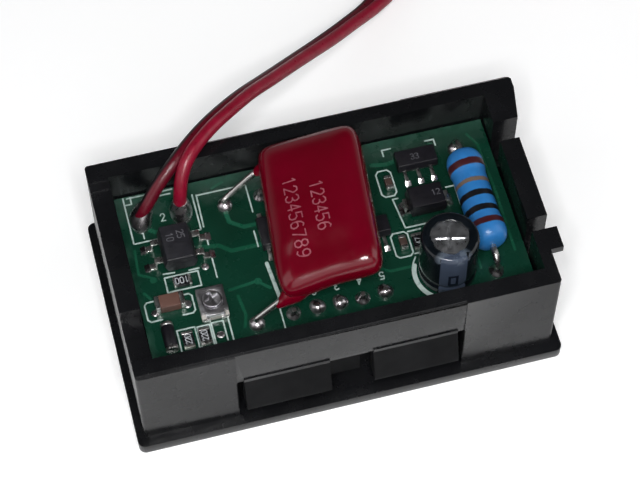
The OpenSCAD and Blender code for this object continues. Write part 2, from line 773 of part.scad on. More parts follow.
bridge_reach = 1.5;
bridge_lead_w = 0.7;
module bridge_rectifier_leads() {
    color([0.75, 0.75, 0.74]) for (s = [-1, 1], y = [-1, 1])
        translate([bridge_at[0], bridge_at[1] + y * bridge_lead_pitch / 2, top_z])
            rotate(s > 0 ? 0 : 180) translate([bridge_w / 2, 0, 0])
                gull_lead(bridge_lead_w, bridge_reach, chip_lift + bridge_h * 0.45 - lead_t / 2);
}

module regulator() {
    color([0.06, 0.06, 0.07]) for (p = regulators_at) translate([p[0], p[1], top_z + lead_t])
        rotate(90) moulded(regulator_w, regulator_l, regulator_h, 0.2);
}

regulator_reach = 1;
module regulator_leads() {
    lead_w = 0.4;
    tab_w = 4 * lead_w;
    inside = 0.3;
    color([0.75, 0.75, 0.74]) for (p = regulators_at) translate([p[0], p[1], top_z]) {
        for (i = [-1 : 1])
            translate([i * regulator_lead_pitch - lead_w / 2, -regulator_w / 2 - regulator_reach, 0])
                cube([lead_w, regulator_reach + inside, lead_t]);
        translate([-tab_w / 2, -regulator_w / 2 + inside - eps, 0])
            cube([tab_w, regulator_w - inside + lead_w, lead_t]);
    }
}

module suppressor_diode() {
    color([0.06, 0.06, 0.07]) translate([suppressor_at[0], suppressor_at[1], top_z + lead_t])
        moulded(suppressor_l, suppressor_w, suppressor_h, 0.25);
}

suppressor_reach = 0.45;
suppressor_lead_w = 1.4;
module suppressor_diode_leads() {
    w = suppressor_lead_w;
    reach = suppressor_reach;
    color([0.75, 0.75, 0.74]) for (s = [0, 180])
        translate([suppressor_at[0], suppressor_at[1], top_z]) rotate(s)
            translate([suppressor_l / 2, 0, 0]) rotate([90, 0, 0])
                translate([0, 0, -w / 2]) linear_extrude(w) polygon([
                    [0, lead_t + suppressor_h * 0.45], [reach, lead_t + suppressor_h * 0.45],
                    [reach, 0], [-1.2, 0], [-1.2, lead_t], [reach - lead_t, lead_t],
                    [reach - lead_t, lead_t + suppressor_h * 0.45 - lead_t],
                    [0, lead_t + suppressor_h * 0.45 - lead_t],
                ]);
}

module controller_chip() {
    color([0.06, 0.06, 0.07]) translate([controller_at[0], controller_at[1], top_z + chip_lift])
        rotate(90) moulded(controller_w, controller_l, controller_h, 0.2);
}

controller_reach = 1.05;
module controller_leads_set() {
    color([0.75, 0.75, 0.74]) for (s = [90, 270], i = [0 : controller_leads - 1])
        translate([controller_at[0] + (i - (controller_leads - 1) / 2) * controller_pitch,
                controller_at[1], top_z])
            rotate(s) translate([controller_w / 2, 0, 0])
                gull_lead(0.42, controller_reach, chip_lift + controller_h * 0.45 - lead_t / 2);
}

// Solder fillets in front of the larger flat leads.
module chip_solder() {
    color([0.8, 0.8, 0.79]) {
        for (s = [0, 180], y = [-1, 1])
            translate([bridge_at[0], bridge_at[1] + y * bridge_lead_pitch / 2, top_z]) rotate(s)
                translate([bridge_w / 2 + bridge_reach, 0, 0])
                    fillet(bridge_reach * 0.4, bridge_lead_w * 1.4, lead_t * 1.5);
        for (s = [0, 180])
            translate([suppressor_at[0], suppressor_at[1], top_z]) rotate(s)
                translate([suppressor_l / 2 + suppressor_reach, 0, 0])
                    fillet(suppressor_reach * 1.1, suppressor_lead_w * 1.07, lead_t * 2.5);
        for (p = regulators_at, i = [-1 : 1])
            translate([p[0] + i * regulator_lead_pitch, p[1] - regulator_w / 2 - regulator_reach, top_z])
                rotate(-90) fillet(regulator_reach * 0.6, regulator_lead_pitch * 0.47, lead_t * 1.5);
    }
}

// ---- trimmer ----

trimmer_l = trimmer_s + 0.5;
trimmer_z1 = top_z + trimmer_base_t;
rotor_z = trimmer_z1;

module trimmer_base() {
    color([0.75, 0.73, 0.68]) translate([trimmer_at[0], trimmer_at[1], top_z]) difference() {
        block(trimmer_s, trimmer_l, trimmer_base_t);
        translate([0, 0.15, -1]) cylinder(d = rotor_pin_d, h = 3);
    }
}

module trimmer_terminals() {
    color([0.78, 0.78, 0.77]) translate([trimmer_at[0], trimmer_at[1], top_z]) {
        for (x = [-1, 1]) translate([x * (trimmer_s / 2 - 0.5), -trimmer_l / 2 - 0.1, 0])
            block(0.8, 0.2, trimmer_base_t);
        translate([0, trimmer_l / 2 + 0.1, 0]) block(1.2, 0.2, trimmer_base_t);
    }
}

module trimmer_frame() {
    color([0.7, 0.7, 0.7]) translate([trimmer_at[0], trimmer_at[1], trimmer_z1]) difference() {
        block(trimmer_s, trimmer_l, trimmer_frame_t);
        translate([0, 0.15, -1]) cylinder(d = rotor_d + 2 * rotor_gap, h = 3);
        for (x = [-1, 1]) translate([x * trimmer_s / 2, -trimmer_l / 2, -1])
            block(0.9, 0.9, 3);
    }
}

module trimmer_pin() {
    color([0.8, 0.8, 0.8]) translate([trimmer_at[0], trimmer_at[1] + 0.15, top_z])
        cylinder(d = rotor_pin_d, h = trimmer_base_t + trimmer_frame_t * 0.6);
}

module trimmer_rotor() {
    h = trimmer_frame_t + rotor_proud;
    color([0.82, 0.82, 0.82]) translate([trimmer_at[0], trimmer_at[1] + 0.15, rotor_z]) difference() {
        cylinder(d = rotor_d, h = h);
        translate([0, 0, -1])
            cylinder(d = rotor_pin_d + 2 * rotor_gap, h = 1 + trimmer_frame_t * 0.6 + 0.05);
        for (a = [20, 110]) rotate(a) translate([0, 0, h - slot_depth])
            block(rotor_d * 0.78, slot_w, 1);
    }
}

// ---- small parts ----

module ceramic_capacitor() {
    color([0.55, 0.3, 0.2]) translate([ceramic_at[0], ceramic_at[1], 0])
        chip_body(ceramic_l, ceramic_w, ceramic_h, ceramic_end);
}

module ceramic_capacitor_ends() {
    color([0.75, 0.75, 0.74]) translate([ceramic_at[0], ceramic_at[1], 0])
        chip_ends(ceramic_l, ceramic_w, ceramic_h, ceramic_end);
}

module small_capacitors() {
    color([0.45, 0.3, 0.2]) for (p = small_capacitors_at)
        translate([p[0], p[1], 0]) rotate(90) chip_body(small_l, small_w, small_h, chip_end);
}

module small_capacitor_ends() {
    color([0.75, 0.75, 0.74]) for (p = small_capacitors_at)
        translate([p[0], p[1], 0]) rotate(90) chip_ends(small_l, small_w, small_h, chip_end);
}

// Every chip resistor's place and turn.
resistor_chips = concat(
    [[big_resistor_at, 0]],
    [for (p = concat(small_resistors_at, [side_resistor_at])) [p, 90]]
);

module chip_resistors() {
    color([0.05, 0.05, 0.06]) for (c = resistor_chips)
        translate([c[0][0], c[0][1], 0]) rotate(c[1]) chip_body(chip_l, chip_w, chip_h, chip_end);
}

module chip_resistor_ends() {
    color([0.75, 0.75, 0.74]) for (c = resistor_chips)
        translate([c[0][0], c[0][1], 0]) rotate(c[1]) chip_ends(chip_l, chip_w, chip_h, chip_end);
}

module signal_diode() {
    color([0.05, 0.05, 0.05])
        translate([signal_diode_at[0], signal_diode_at[1] + diode_l / 2, top_z + diode_d / 2])
            rotate([90, 0, 0]) cylinder(d = diode_d, h = diode_l);
}

module signal_diode_ends() {
    color([0.75, 0.75, 0.74]) for (s = [0, 180])
        translate([signal_diode_at[0], signal_diode_at[1], top_z + diode_d / 2]) rotate(s)
            translate([0, diode_l / 2 + diode_end, 0]) rotate([90, 0, 0])
                cylinder(d = diode_d, h = diode_end);
}

// ---- wires ----

lane = [0.69, -0.72, 0];

module red_wire() {
    color([0.6, 0.02, 0.12]) {
        cord(smoothed(concat([red_start], red_route), 1), lane, wire_d);
        cord(smoothed(red_tail, 2), [0, 0, 1], wire_d);
    }
}

module red_wire_coil() {
    color([0.6, 0.02, 0.12]) coil(red_coil_at);
}

module red_wire_tip() {
    color([0.78, 0.78, 0.77]) tip(red_tail);
}

module black_wire() {
    color([0.05, 0.05, 0.05]) {
        cord(smoothed(concat([black_start], black_route), 1), lane, wire_d);
        cord(smoothed(black_tail, 2), [0, 0, 1], wire_d);
    }
}

module black_wire_coil() {
    color([0.05, 0.05, 0.05]) coil(black_coil_at);
}

module black_wire_tip() {
    color([0.78, 0.78, 0.77]) tip(black_tail);
}

housing();
display_filter();
display_block();
display_segments();
display_pins();
circuit_board();
pin_solder();
lead_solder();
wire_solder();
chip_solder();
film_capacitor();
film_capacitor_leads();
electrolytic_can();
electrolytic_sleeve();
electrolytic_seal();
electrolytic_leads();
power_resistor();
power_resistor_leads();
bridge_rectifier();
bridge_rectifier_leads();
regulator();
regulator_leads();
suppressor_diode();
suppressor_diode_leads();
controller_chip();
controller_leads_set();
trimmer_base();
trimmer_terminals();
trimmer_frame();
trimmer_pin();
trimmer_rotor();
ceramic_capacitor();
ceramic_capacitor_ends();
small_capacitors();
small_capacitor_ends();
chip_resistors();
chip_resistor_ends();
signal_diode();
signal_diode_ends();
red_wire();
red_wire_coil();
red_wire_tip();
black_wire();
black_wire_coil();
black_wire_tip();
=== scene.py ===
import math
import bmesh
import bpy
import numpy as np
from mathutils import Matrix, Vector


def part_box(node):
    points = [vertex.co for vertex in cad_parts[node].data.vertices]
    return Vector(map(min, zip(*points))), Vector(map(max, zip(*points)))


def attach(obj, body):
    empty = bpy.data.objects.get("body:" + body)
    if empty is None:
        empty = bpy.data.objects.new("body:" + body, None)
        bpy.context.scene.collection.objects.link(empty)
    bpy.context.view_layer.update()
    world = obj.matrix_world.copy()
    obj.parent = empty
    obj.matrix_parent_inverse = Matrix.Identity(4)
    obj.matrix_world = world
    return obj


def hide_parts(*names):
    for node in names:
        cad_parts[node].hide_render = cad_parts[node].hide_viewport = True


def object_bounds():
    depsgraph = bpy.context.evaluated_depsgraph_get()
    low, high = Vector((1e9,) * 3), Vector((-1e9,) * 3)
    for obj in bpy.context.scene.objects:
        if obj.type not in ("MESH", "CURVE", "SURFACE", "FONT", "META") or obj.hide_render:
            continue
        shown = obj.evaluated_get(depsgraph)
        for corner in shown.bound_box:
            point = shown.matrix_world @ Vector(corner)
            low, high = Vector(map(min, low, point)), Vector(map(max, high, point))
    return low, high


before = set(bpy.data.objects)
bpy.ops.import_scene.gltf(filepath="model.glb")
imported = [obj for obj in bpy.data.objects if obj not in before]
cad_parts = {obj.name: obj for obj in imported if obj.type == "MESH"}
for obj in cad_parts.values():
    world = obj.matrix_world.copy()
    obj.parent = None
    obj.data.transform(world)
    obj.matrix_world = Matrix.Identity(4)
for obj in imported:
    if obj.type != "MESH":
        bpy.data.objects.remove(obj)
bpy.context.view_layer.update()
mm = 0.001  # sizes below are in millimetres, the scene's are in metres
print("frame loaded")

view = {
    "turn": -14.088, "rise": 60.189, "roll": -0.419,  # degrees
    "away": 0.237469, "aim": (0.000207, 0.001044, 0.010), "lens": 121.803, "sensor": 36}
turn, rise, roll = (math.radians(view[k]) for k in ("turn", "rise", "roll"))
back = Vector((math.sin(turn) * math.cos(rise), -math.cos(turn) * math.cos(rise), math.sin(rise)))
level = Vector((math.cos(turn), math.sin(turn), 0))
upright = back.cross(level)
side = level * math.cos(roll) + upright * math.sin(roll)
top = upright * math.cos(roll) - level * math.sin(roll)
cameraData = bpy.data.cameras.new("camera")
cameraData.lens = view["lens"]
cameraData.sensor_width = view["sensor"]
cameraData.sensor_fit = "HORIZONTAL"
cameraData.clip_start = 0.01
camera = bpy.data.objects.new("camera", cameraData)
bpy.context.scene.collection.objects.link(camera)
place = Vector(view["aim"]) + back * view["away"]
rows = [(side[k], top[k], back[k], place[k]) for k in range(3)]
camera.matrix_world = Matrix((*rows, (0, 0, 0, 1)))
bpy.context.scene.camera = camera
print("camera made")


# meshes


def gridFaces(rows, cols):  # four-sided faces between rings of points
    i, j = np.meshgrid(np.arange(rows - 1), np.arange(cols), indexing="ij")
    k = (j + 1) % cols
    corners = [i * cols + j, i * cols + k, (i + 1) * cols + k, (i + 1) * cols + j]
    return np.stack(corners, -1).reshape(-1, 4).tolist()


def tubeFaces(rows, sides):  # the same, closed at both ends
    last = (rows - 1) * sides
    return gridFaces(rows, sides) + [list(range(sides))[::-1], list(range(last, last + sides))]


def makePiece(name, points, faces, material, smooth=True, replaces=(), slot=None, paint=None):
    data = bpy.data.meshes.new(name)
    data.from_pydata((np.asarray(points, float) * mm).tolist(), [], faces)
    data.polygons.foreach_set("use_smooth", np.full(len(data.polygons), smooth))
    if paint is not None:
        made = data.attributes.new("paint", "FLOAT", "POINT")
        made.data.foreach_set("value", np.asarray(paint, np.float32))
    data.materials.append(material)
    data.update()
    piece = bpy.data.objects.new(name, data)
    bpy.context.scene.collection.objects.link(piece)
    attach(piece, "meter")
    if replaces:
        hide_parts(*replaces)
    return piece


def joined(parts):
    points, faces, base = [], [], 0  # parts are (points, faces)
    for p, f in parts:
        points.append(np.asarray(p, float))
        faces += [[int(v) + base for v in row] for row in f]
        base += len(p)
    return np.concatenate(points), faces


def revolve(profile, sides, at, wobble=0.0, seed=0):
    prof = np.asarray(profile, float)  # rows are (radius, height), from the foot up
    turnAt = np.linspace(0, 2 * np.pi, sides, endpoint=False)
    local = np.random.default_rng(seed)
    waves = [local.normal() * np.cos(k * turnAt + local.uniform(0, 6.28)) / k for k in (1, 2, 3)]
    lobes = 1 + wobble * sum(waves)
    r = prof[:, :1] * lobes
    ring = np.stack([r * np.cos(turnAt), r * np.sin(turnAt), np.repeat(prof[:, 1:], sides, 1)], -1)
    return ring.reshape(-1, 3) + np.asarray(at, float), tubeFaces(len(prof), sides)


def smoothLine(points, steps):
    p = np.asarray(points, float)  # Catmull-Rom: a cubic through every point
    q = np.concatenate([[2 * p[0] - p[1]], p, [2 * p[-1] - p[-2]]])
    t = np.linspace(0, 1, steps, endpoint=False)[:, None, None]
    a, b, c, d = q[:-3], q[1:-2], q[2:-1], q[3:]
    bend, twist = 2 * a - 5 * b + 4 * c - d, 3 * b - a - 3 * c + d
    out = 0.5 * (2 * b + (c - a) * t + bend * t**2 + twist * t**3)
    return np.concatenate([out.transpose(1, 0, 2).reshape(-1, 3), p[-1:]])


def smoothProfile(profile, steps):
    return smoothLine(np.column_stack([np.asarray(profile), np.zeros(len(profile))]), steps)[:, :2]


def sweep(path, radius, sides):
    p = np.asarray(path, float)
    along = np.gradient(p, axis=0)
    along /= np.linalg.norm(along, axis=1, keepdims=True)
    first = np.cross(along[0], [0, 0, 1] if abs(along[0][2]) < 0.9 else [1, 0, 0])
    first /= np.linalg.norm(first)
    frames = [first]
    for t in along[1:]:  # carries the section's direction along the line without twist
        f = frames[-1] - t * np.dot(frames[-1], t)
        frames.append(f / np.linalg.norm(f))
    u = np.asarray(frames)
    w = np.cross(along, u)
    a = np.linspace(0, 2 * np.pi, sides, endpoint=False)
    r = np.broadcast_to(np.asarray(radius, float), (len(p),))[:, None, None]
    ring = p[:, None] + r * (np.cos(a)[:, None] * u[:, None] + np.sin(a)[:, None] * w[:, None])
    return ring.reshape(-1, 3), tubeFaces(len(p), sides)


pen = {"corners": 6, "step": 0.06, "steps": 5}  # capsules differ a little in thickness where they cross


def strokeSolid(line, width, z, thick, lift=None):
    pts = np.asarray(line, float)  # a flat pen stroke with round ends, one capsule for each stretch
    out = []
    a = np.linspace(-np.pi / 2, np.pi / 2, pen["corners"])
    for p, q in zip(pts[:-1], pts[1:]):
        head = math.atan2(q[1] - p[1], q[0] - p[0])
        halves = [
            np.stack([end[0] + np.cos(b) * width / 2, end[1] + np.sin(b) * width / 2], 1)
            for end, b in ((q, a + head), (p, a + head + np.pi))]
        c = np.concatenate(halves)
        base = z if lift is None else lift(c[:, 0], c[:, 1])
        low = np.column_stack([c, np.broadcast_to(base, len(c))])
        high = low + [0, 0, thick * (1 + pen["step"] * (len(out) % pen["steps"]))]
        n = len(c)
        faces = [list(range(n))[::-1], [n + i for i in range(n)]]
        faces += [[i, (i + 1) % n, n + (i + 1) % n, n + i] for i in range(n)]
        out.append((np.concatenate([low, high]), faces))
    return out


# strokes of plain digits on a 2 by 4 grid, drawn for this scene
digitStrokes = {
    "0": [[(0.5, 0), (0, 0.7), (0, 3.3), (0.5, 4), (1.5, 4), (2, 3.3), (2, 0.7), (1.5, 0), (0.5, 0)]],
    "1": [[(0.4, 3.2), (1.1, 4), (1.1, 0)]],
    "2": [[(0, 3.2), (0.5, 4), (1.5, 4), (2, 3.2), (2, 2.6), (0, 0), (2, 0)]],
    "3": [
        [(0, 3.5), (0.6, 4), (1.5, 4), (2, 3.3), (2, 2.7), (1.4, 2.1), (0.8, 2.1)],
        [(1.4, 2.1), (2, 1.5), (2, 0.7), (1.5, 0), (0.5, 0), (0, 0.6)]],
    "4": [[(1.5, 0), (1.5, 4), (0, 1.2), (2, 1.2)]],
    "5": [[(2, 4), (0.2, 4), (0, 2.2), (1.3, 2.4), (2, 1.7), (2, 0.7), (1.4, 0), (0.4, 0), (0, 0.5)]],
    "6": [[
        (1.8, 3.7), (1.2, 4), (0.4, 3.4), (0, 2.2), (0, 0.8), (0.5, 0),
        (1.5, 0), (2, 0.7), (2, 1.5), (1.5, 2.2), (0.5, 2.2), (0, 1.6)]],
    "7": [[(0, 4), (2, 4), (0.7, 0)]],
    "8": [[
        (0.6, 2.1), (0.1, 2.7), (0.1, 3.4), (0.6, 4), (1.4, 4), (1.9, 3.4), (1.9, 2.7), (1.4, 2.1),
        (0.6, 2.1), (0, 1.4), (0, 0.7), (0.5, 0), (1.5, 0), (2, 0.7), (2, 1.4), (1.4, 2.1)]],
    "9": [[
        (0.2, 0.3), (0.8, 0), (1.6, 0.6), (2, 1.8), (2, 3.2), (1.5, 4),
        (0.5, 4), (0, 3.3), (0, 2.5), (0.5, 1.8), (1.5, 1.8), (2, 2.4)]],
}


def printDigits(text, at, height, heading, width, z, thick, lift=None, pitch=2.9):
    parts, unit = [], height / 4  # heading is the way the line reads, in radians
    cosine, sine = math.cos(heading), math.sin(heading)
    for n, sign in enumerate(text):
        for line in digitStrokes[sign]:
            x, y = (np.asarray(line, float) * unit + [n * pitch * unit, -2 * unit]).T
            turned = np.column_stack([x * cosine - y * sine, x * sine + y * cosine])
            parts += strokeSolid(turned + np.asarray(at), width, z, thick, lift)
    return parts


# materials


def newMaterial(name):
    made = bpy.data.materials.new("look_" + name)
    made.use_nodes = True
    tree = made.node_tree
    tree.nodes.clear()
    out = tree.nodes.new("ShaderNodeOutputMaterial")
    shader = tree.nodes.new("ShaderNodeBsdfPrincipled")
    tree.links.new(shader.outputs[0], out.inputs[0])
    return made, tree, shader


def add(tree, kind, inputs=None, **settings):
    made = tree.nodes.new("ShaderNode" + kind)
    for key, value in settings.items():
        setattr(made, key, value)
    for key, value in (inputs or {}).items():
        if isinstance(value, bpy.types.NodeSocket):
            tree.links.new(value, made.inputs[key])
        else:
            made.inputs[key].default_value = value
    return made


def link(tree, value, shader, socket):
    tree.links.new(value, shader.inputs[socket])


def noise(tree, scale, detail=3.0, rough=0.55, stretch=None):
    where = add(tree, "TexCoord").outputs["Object"]
    if stretch:
        where = add(tree, "Mapping", {"Vector": where, "Scale": stretch}).outputs[0]
    inputs = {"Vector": where, "Scale": scale, "Detail": detail, "Roughness": rough}
    return add(tree, "TexNoise", inputs).outputs["Fac"]


def ramp(tree, value, stops):
    made = add(tree, "ValToRGB", {"Fac": value})
    marks = made.color_ramp.elements
    for mark, (where, colour) in zip(marks, stops):
        mark.position = where
        mark.color = (*colour, 1)
    return made.outputs["Color"]


def spread(tree, value, low, high, toLow, toHigh):
    return add(tree, "MapRange", {0: value, 1: low, 2: high, 3: toLow, 4: toHigh}).outputs[0]


def mixed(tree, factor, a, b):
    a, b = ((*c, 1) if isinstance(c, tuple) else c for c in (a, b))
    return add(tree, "Mix", {0: factor, 6: a, 7: b}, data_type="RGBA").outputs[2]


def combined(tree, kind, first, *others):
    for value in others:
        first = add(tree, "Math", {0: first, 1: value}, operation=kind).outputs[0]
    return first


def distance(tree, value, middle=0.0):
    return combined(tree, "ABSOLUTE", combined(tree, "SUBTRACT", value, middle), 0.0)


def axes(tree):
    parts = add(tree, "SeparateXYZ", {0: add(tree, "TexCoord").outputs["Object"]})
    return parts.outputs[0], parts.outputs[1], parts.outputs[2]


def mottled(tree, scale, detail, dark, light, full=0.7):
    return ramp(tree, noise(tree, scale, detail), [(0.3, dark), (full, light)])


def roughened(tree, shader, scale, detail, low, high, full=0.7):
    link(tree, spread(tree, noise(tree, scale, detail), 0.3, full, low, high), shader, "Roughness")


def bumped(tree, shader, height, strength, depth, under=None):
    made = add(tree, "Bump", {"Height": height, "Strength": strength, "Distance": depth})
    if under is not None:
        tree.links.new(under, made.inputs["Normal"])
    link(tree, made.outputs[0], shader, "Normal")
    return made.outputs[0]


# leads: the part's own routes, then turns worked out from angle, radius and height


def insulation(name, base, sheen, stripe=None):
    made, tree, shader = newMaterial(name)
    tone = mottled(tree, 900, 4, base, sheen, 0.75)
    if stripe:  # painted reflection: the side that the mesh marks is painted with the red lead's reflection
        marked = add(tree, "Attribute", attribute_name="paint").outputs["Fac"]
        tone = mixed(tree, spread(tree, marked, 0.05, 0.3, 0, 1), tone, stripe)
    link(tree, tone, shader, "Base Color")
    roughened(tree, shader, 2500, 3, 0.26, 0.42)
    bumped(tree, shader, noise(tree, 1800, 5), 0.25, 0.00006)
    return made


wire = {
    "radius": 0.75, "sides": 24, "coilStep": 15.0, "coilRadii": [9, 7.5, 7.5, 7.5, 9, 9],
    "coilHeights": [0.75, 0.75, 2.25, 2.25, 2.25, 2.25], "markedAt": 40, "markedWay": (0.62, -0.62, 0.48)}
redLead = {
    "start": (-13.85, 7.8, 12.1),
    "route": [
        (-13.8, 7.9, 13), (-13.6, 8.3, 14.4), (-13.1, 9.3, 15.8), (-12.2, 10.5, 16.8), (-10.8, 11.9, 17.3),
        (-8.6, 13.9, 17.1), (-6, 16.2, 16.1), (-3.2, 18.8, 14.5), (-0.2, 21.4, 12.4), (4.2, 25.2, 9.4),
        (8.8, 28.9, 6.6), (12.2, 31.7, 4.8), (15.4, 34.2, 3.3), (18.6, 37, 2.1), (21.6, 39.9, 1.2),
        (24.6, 42.8, 0.85), (27.6, 45.7, 0.75), (30.8, 48.7, 0.75)],
    "coilAt": (39.8, 44.8), "coilAngles": [133.6, -226.4, -276.4, -360, -636.4, -720],
    "tail": [(48.8, 42, 2.1), (48.8, 38.5, 1.2), (48.8, 35, 0.75)]}
blackLead = {
    "start": (-18.35, 7.8, 12.1),
    "route": [
        (-18, 7.9, 12.6), (-17.4, 8.3, 13.3), (-16.3, 9.1, 14.4), (-15.1, 9.9, 15.4), (-13.4, 11.1, 16.3),
        (-11.7, 12.7, 16.4), (-9.5, 14.7, 16.1), (-6.8, 17.1, 15.1), (-4, 19.6, 13.5), (-1, 22.2, 11.4),
        (3.4, 26, 8.4), (8, 29.8, 5.6), (11.4, 32.6, 3.8), (14.5, 35.3, 2.2), (17.4, 38.2, 1.1),
        (20.2, 41, 0.75)],
    "coilAt": (15.8, 49.4), "coilAngles": [-45, 315, 365, 450, 725, 810],
    "tail": [(13.1, 58.4, 2.1), (9.6, 58.4, 1.2), (6.1, 58.4, 0.75)]}


def coilTurns(centre, angles):
    step = math.copysign(wire["coilStep"], angles[-1] - angles[0])
    a = np.arange(angles[0], angles[-1], step)
    order = np.argsort(angles)
    known = np.asarray(angles, float)[order]
    r = np.interp(a, known, np.asarray(wire["coilRadii"], float)[order])
    z = np.interp(a, known, np.asarray(wire["coilHeights"], float)[order])
    return np.stack([centre[0] + r * np.cos(np.radians(a)), centre[1] + r * np.sin(np.radians(a)), z], 1)


def cordPiece(name, colour, skin, lead):
    turns = coilTurns(lead["coilAt"], lead["coilAngles"])
    line = smoothLine(np.concatenate([[lead["start"]], lead["route"], turns, lead["tail"]]), 4)
    points, faces = sweep(line, wire["radius"], wire["sides"])
    ring = points.reshape(-1, wire["sides"], 3)[wire["markedAt"]]
    spoke = (ring - line[wire["markedAt"]]) / wire["radius"]
    marked = np.tile(spoke @ np.array(wire["markedWay"]), len(line))  # one side of the skin, all along, where the red lead's reflection is painted
    piece = makePiece(
        name, points, faces, skin, paint=marked, replaces=(colour + "_wire", colour + "_wire_coil"),
        slot=colour + "_insulation")


redSkin = insulation("red_insulation", (0.2, 0.0, 0.014), (0.29, 0.004, 0.028))
# the black lead carries a painted reflection of the red lead along one side
blackSkin = insulation(
    "black_insulation", (0.01, 0.007, 0.009), (0.02, 0.014, 0.017), stripe=(0.11, 0.001, 0.01))
cordPiece("red_lead", "red", redSkin, redLead)
cordPiece("black_lead", "black", blackSkin, blackLead)


# copies of CAD nodes with softened edges

bevel = {"weld": 2e-6, "flat": 1.5, "sharp": 30}  # metres, degrees, degrees


def softened(nodes, name, width, material, body="meter", segments=2):
    mesh = bpy.data.meshes.new(name)
    shape = bmesh.new()
    for node in nodes:
        shape.from_mesh(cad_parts[node].data)
    bmesh.ops.remove_doubles(shape, verts=shape.verts, dist=bevel["weld"])
    flat = math.radians(bevel["flat"])
    bmesh.ops.dissolve_limit(shape, angle_limit=flat, verts=shape.verts, edges=shape.edges)
    shape.to_mesh(mesh)
    shape.free()
    mesh.materials.clear()
    mesh.materials.append(material)
    mesh.polygons.foreach_set("use_smooth", np.full(len(mesh.polygons), True))
    piece = bpy.data.objects.new(name, mesh)
    bpy.context.scene.collection.objects.link(piece)
    edge = piece.modifiers.new("edges", "BEVEL")
    edge.width = width * mm
    edge.segments = segments
    edge.limit_method = "ANGLE"
    edge.angle_limit = math.radians(bevel["sharp"])
    edge.harden_normals = True
    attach(piece, body)
    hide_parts(*nodes)


def dress(material, *nodes):
    for node in nodes:
        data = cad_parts[node].data
        data.materials.clear()
        data.materials.append(material)


def blackPlastic():
    made, tree, shader = newMaterial("case_plastic")
    x, y, z = axes(tree)
    tone = mottled(tree, 130, 4, (0.0042, 0.0044, 0.0052), (0.0075, 0.0078, 0.0092))
    # pale grey streaks, faint everywhere, stronger on the tab faces and along the top of the right end
    streakNoise = spread(tree, noise(tree, 700, 6, 0.7, (1, 6, 2.2)), 0.69, 0.74, 0, 1)
    below = spread(tree, z, 0.0092, 0.0091, 0, 1)
    proud, raised = spread(tree, y, -0.01345, -0.0136, 0, 1), spread(tree, z, 0.003, 0.0042, 0, 1)
    tabs = combined(tree, "MULTIPLY", proud, raised, below)
    end, crest = spread(tree, x, 0.0212, 0.0216, 0, 1), spread(tree, z, 0.0150, 0.0153, 0, 1)
    where = combined(tree, "MAXIMUM", tabs, combined(tree, "MULTIPLY", end, crest))
    amount = combined(tree, "ADD", combined(tree, "MULTIPLY", where, 0.55), 0.06)
    paleStreaks = combined(tree, "MULTIPLY", streakNoise, amount)
    link(tree, mixed(tree, paleStreaks, tone, (0.16, 0.18, 0.19)), shader, "Base Color")
    # painted shade inside the snap windows: rougher, with a darkened reflection
    inside = spread(tree, distance(tree, x), 0.0127, 0.0126, 0, 1)
    deep = spread(tree, distance(tree, y), 0.0119, 0.012, 0, 1)
    window = combined(tree, "MULTIPLY", inside, deep, below, spread(tree, z, 0.0031, 0.0033, 0, 1))
    gloss = spread(tree, noise(tree, 320, 5), 0.3, 0.7, 0.2, 0.33)
    gloss = combined(tree, "ADD", gloss, combined(tree, "MULTIPLY", window, 0.5))
    gloss = combined(tree, "ADD", gloss, combined(tree, "MULTIPLY", paleStreaks, 0.4))
    link(tree, gloss, shader, "Roughness")
    link(tree, combined(tree, "MULTIPLY", window, 0.75), shader, "Metallic")  # painted shade: a black metallic finish darkens the reflection inside the snap windows
    shader.inputs["IOR"].default_value = 1.53
    fine = bumped(tree, shader, noise(tree, 2600, 4), 0.12, 0.00003)
    bumped(tree, shader, noise(tree, 240, 3), 0.2, 0.00012, fine)
    return made


softened(["housing"], "case_shell", 0.16, blackPlastic(), segments=3)
print("housing made")


# the display, seen from the front


def tintedFilter():
    made, tree, shader = newMaterial("tinted_filter")
    link(tree, mottled(tree, 150, 3, (0.22, 0.012, 0.016), (0.3, 0.018, 0.022)), shader, "Base Color")
    shader.inputs["Transmission Weight"].default_value = 0.85
    shader.inputs["IOR"].default_value = 1.49
    roughened(tree, shader, 900, 3, 0.05, 0.1)
    bumped(tree, shader, noise(tree, 400), 0.05, 0.00005)
    return made


def castResin(name, dark, light, rough):
    made, tree, shader = newMaterial(name)
    link(tree, mottled(tree, 260, 4, dark, light), shader, "Base Color")
    roughened(tree, shader, 1500, 3, rough, rough + 0.15)
    bumped(tree, shader, noise(tree, 2200, 3), 0.15, 0.00003)
    return made


softened(["display_filter"], "front_filter", 0.08, tintedFilter())
dress(castResin("display_resin", (0.045, 0.045, 0.05), (0.065, 0.065, 0.07), 0.45), "display_block")
dress(castResin("segment_resin", (0.62, 0.56, 0.55), (0.74, 0.68, 0.66), 0.35), "display_segments")


def metal(name, dark, light, rough, scale, dents, deep, tarnish=0.0):
    made, tree, shader = newMaterial(name)
    shader.inputs["Metallic"].default_value = 1
    tone = mottled(tree, scale, 4, dark, light)
    if tarnish:
        stain = spread(tree, noise(tree, scale * 0.6, 5, 0.65), 0.52, 0.68, 0, tarnish)
        tone = mixed(tree, stain, tone, (0.11, 0.08, 0.07))
    link(tree, tone, shader, "Base Color")
    roughened(tree, shader, scale * 1.7, 3, *rough)
    bumped(tree, shader, noise(tree, scale * 1.2, 4), dents, deep)
    return made


solder = metal("solder", (0.5, 0.46, 0.48), (0.84, 0.8, 0.82), (0.2, 0.36), 500, 0.25, 0.00007, 0.1)
tin = metal("tinned_lead", (0.6, 0.59, 0.57), (0.87, 0.86, 0.84), (0.22, 0.36), 900, 0.2, 0.00004, 0.03)
nickel = metal("nickel", (0.5, 0.49, 0.52), (0.76, 0.75, 0.78), (0.27, 0.4), 1200, 0.12, 0.00002, 0.05)
aluminium = metal("aluminium", (0.62, 0.64, 0.68), (0.8, 0.81, 0.84), (0.26, 0.4), 900, 0.3, 0.00004)


# the circuit board, its legend and its tracks


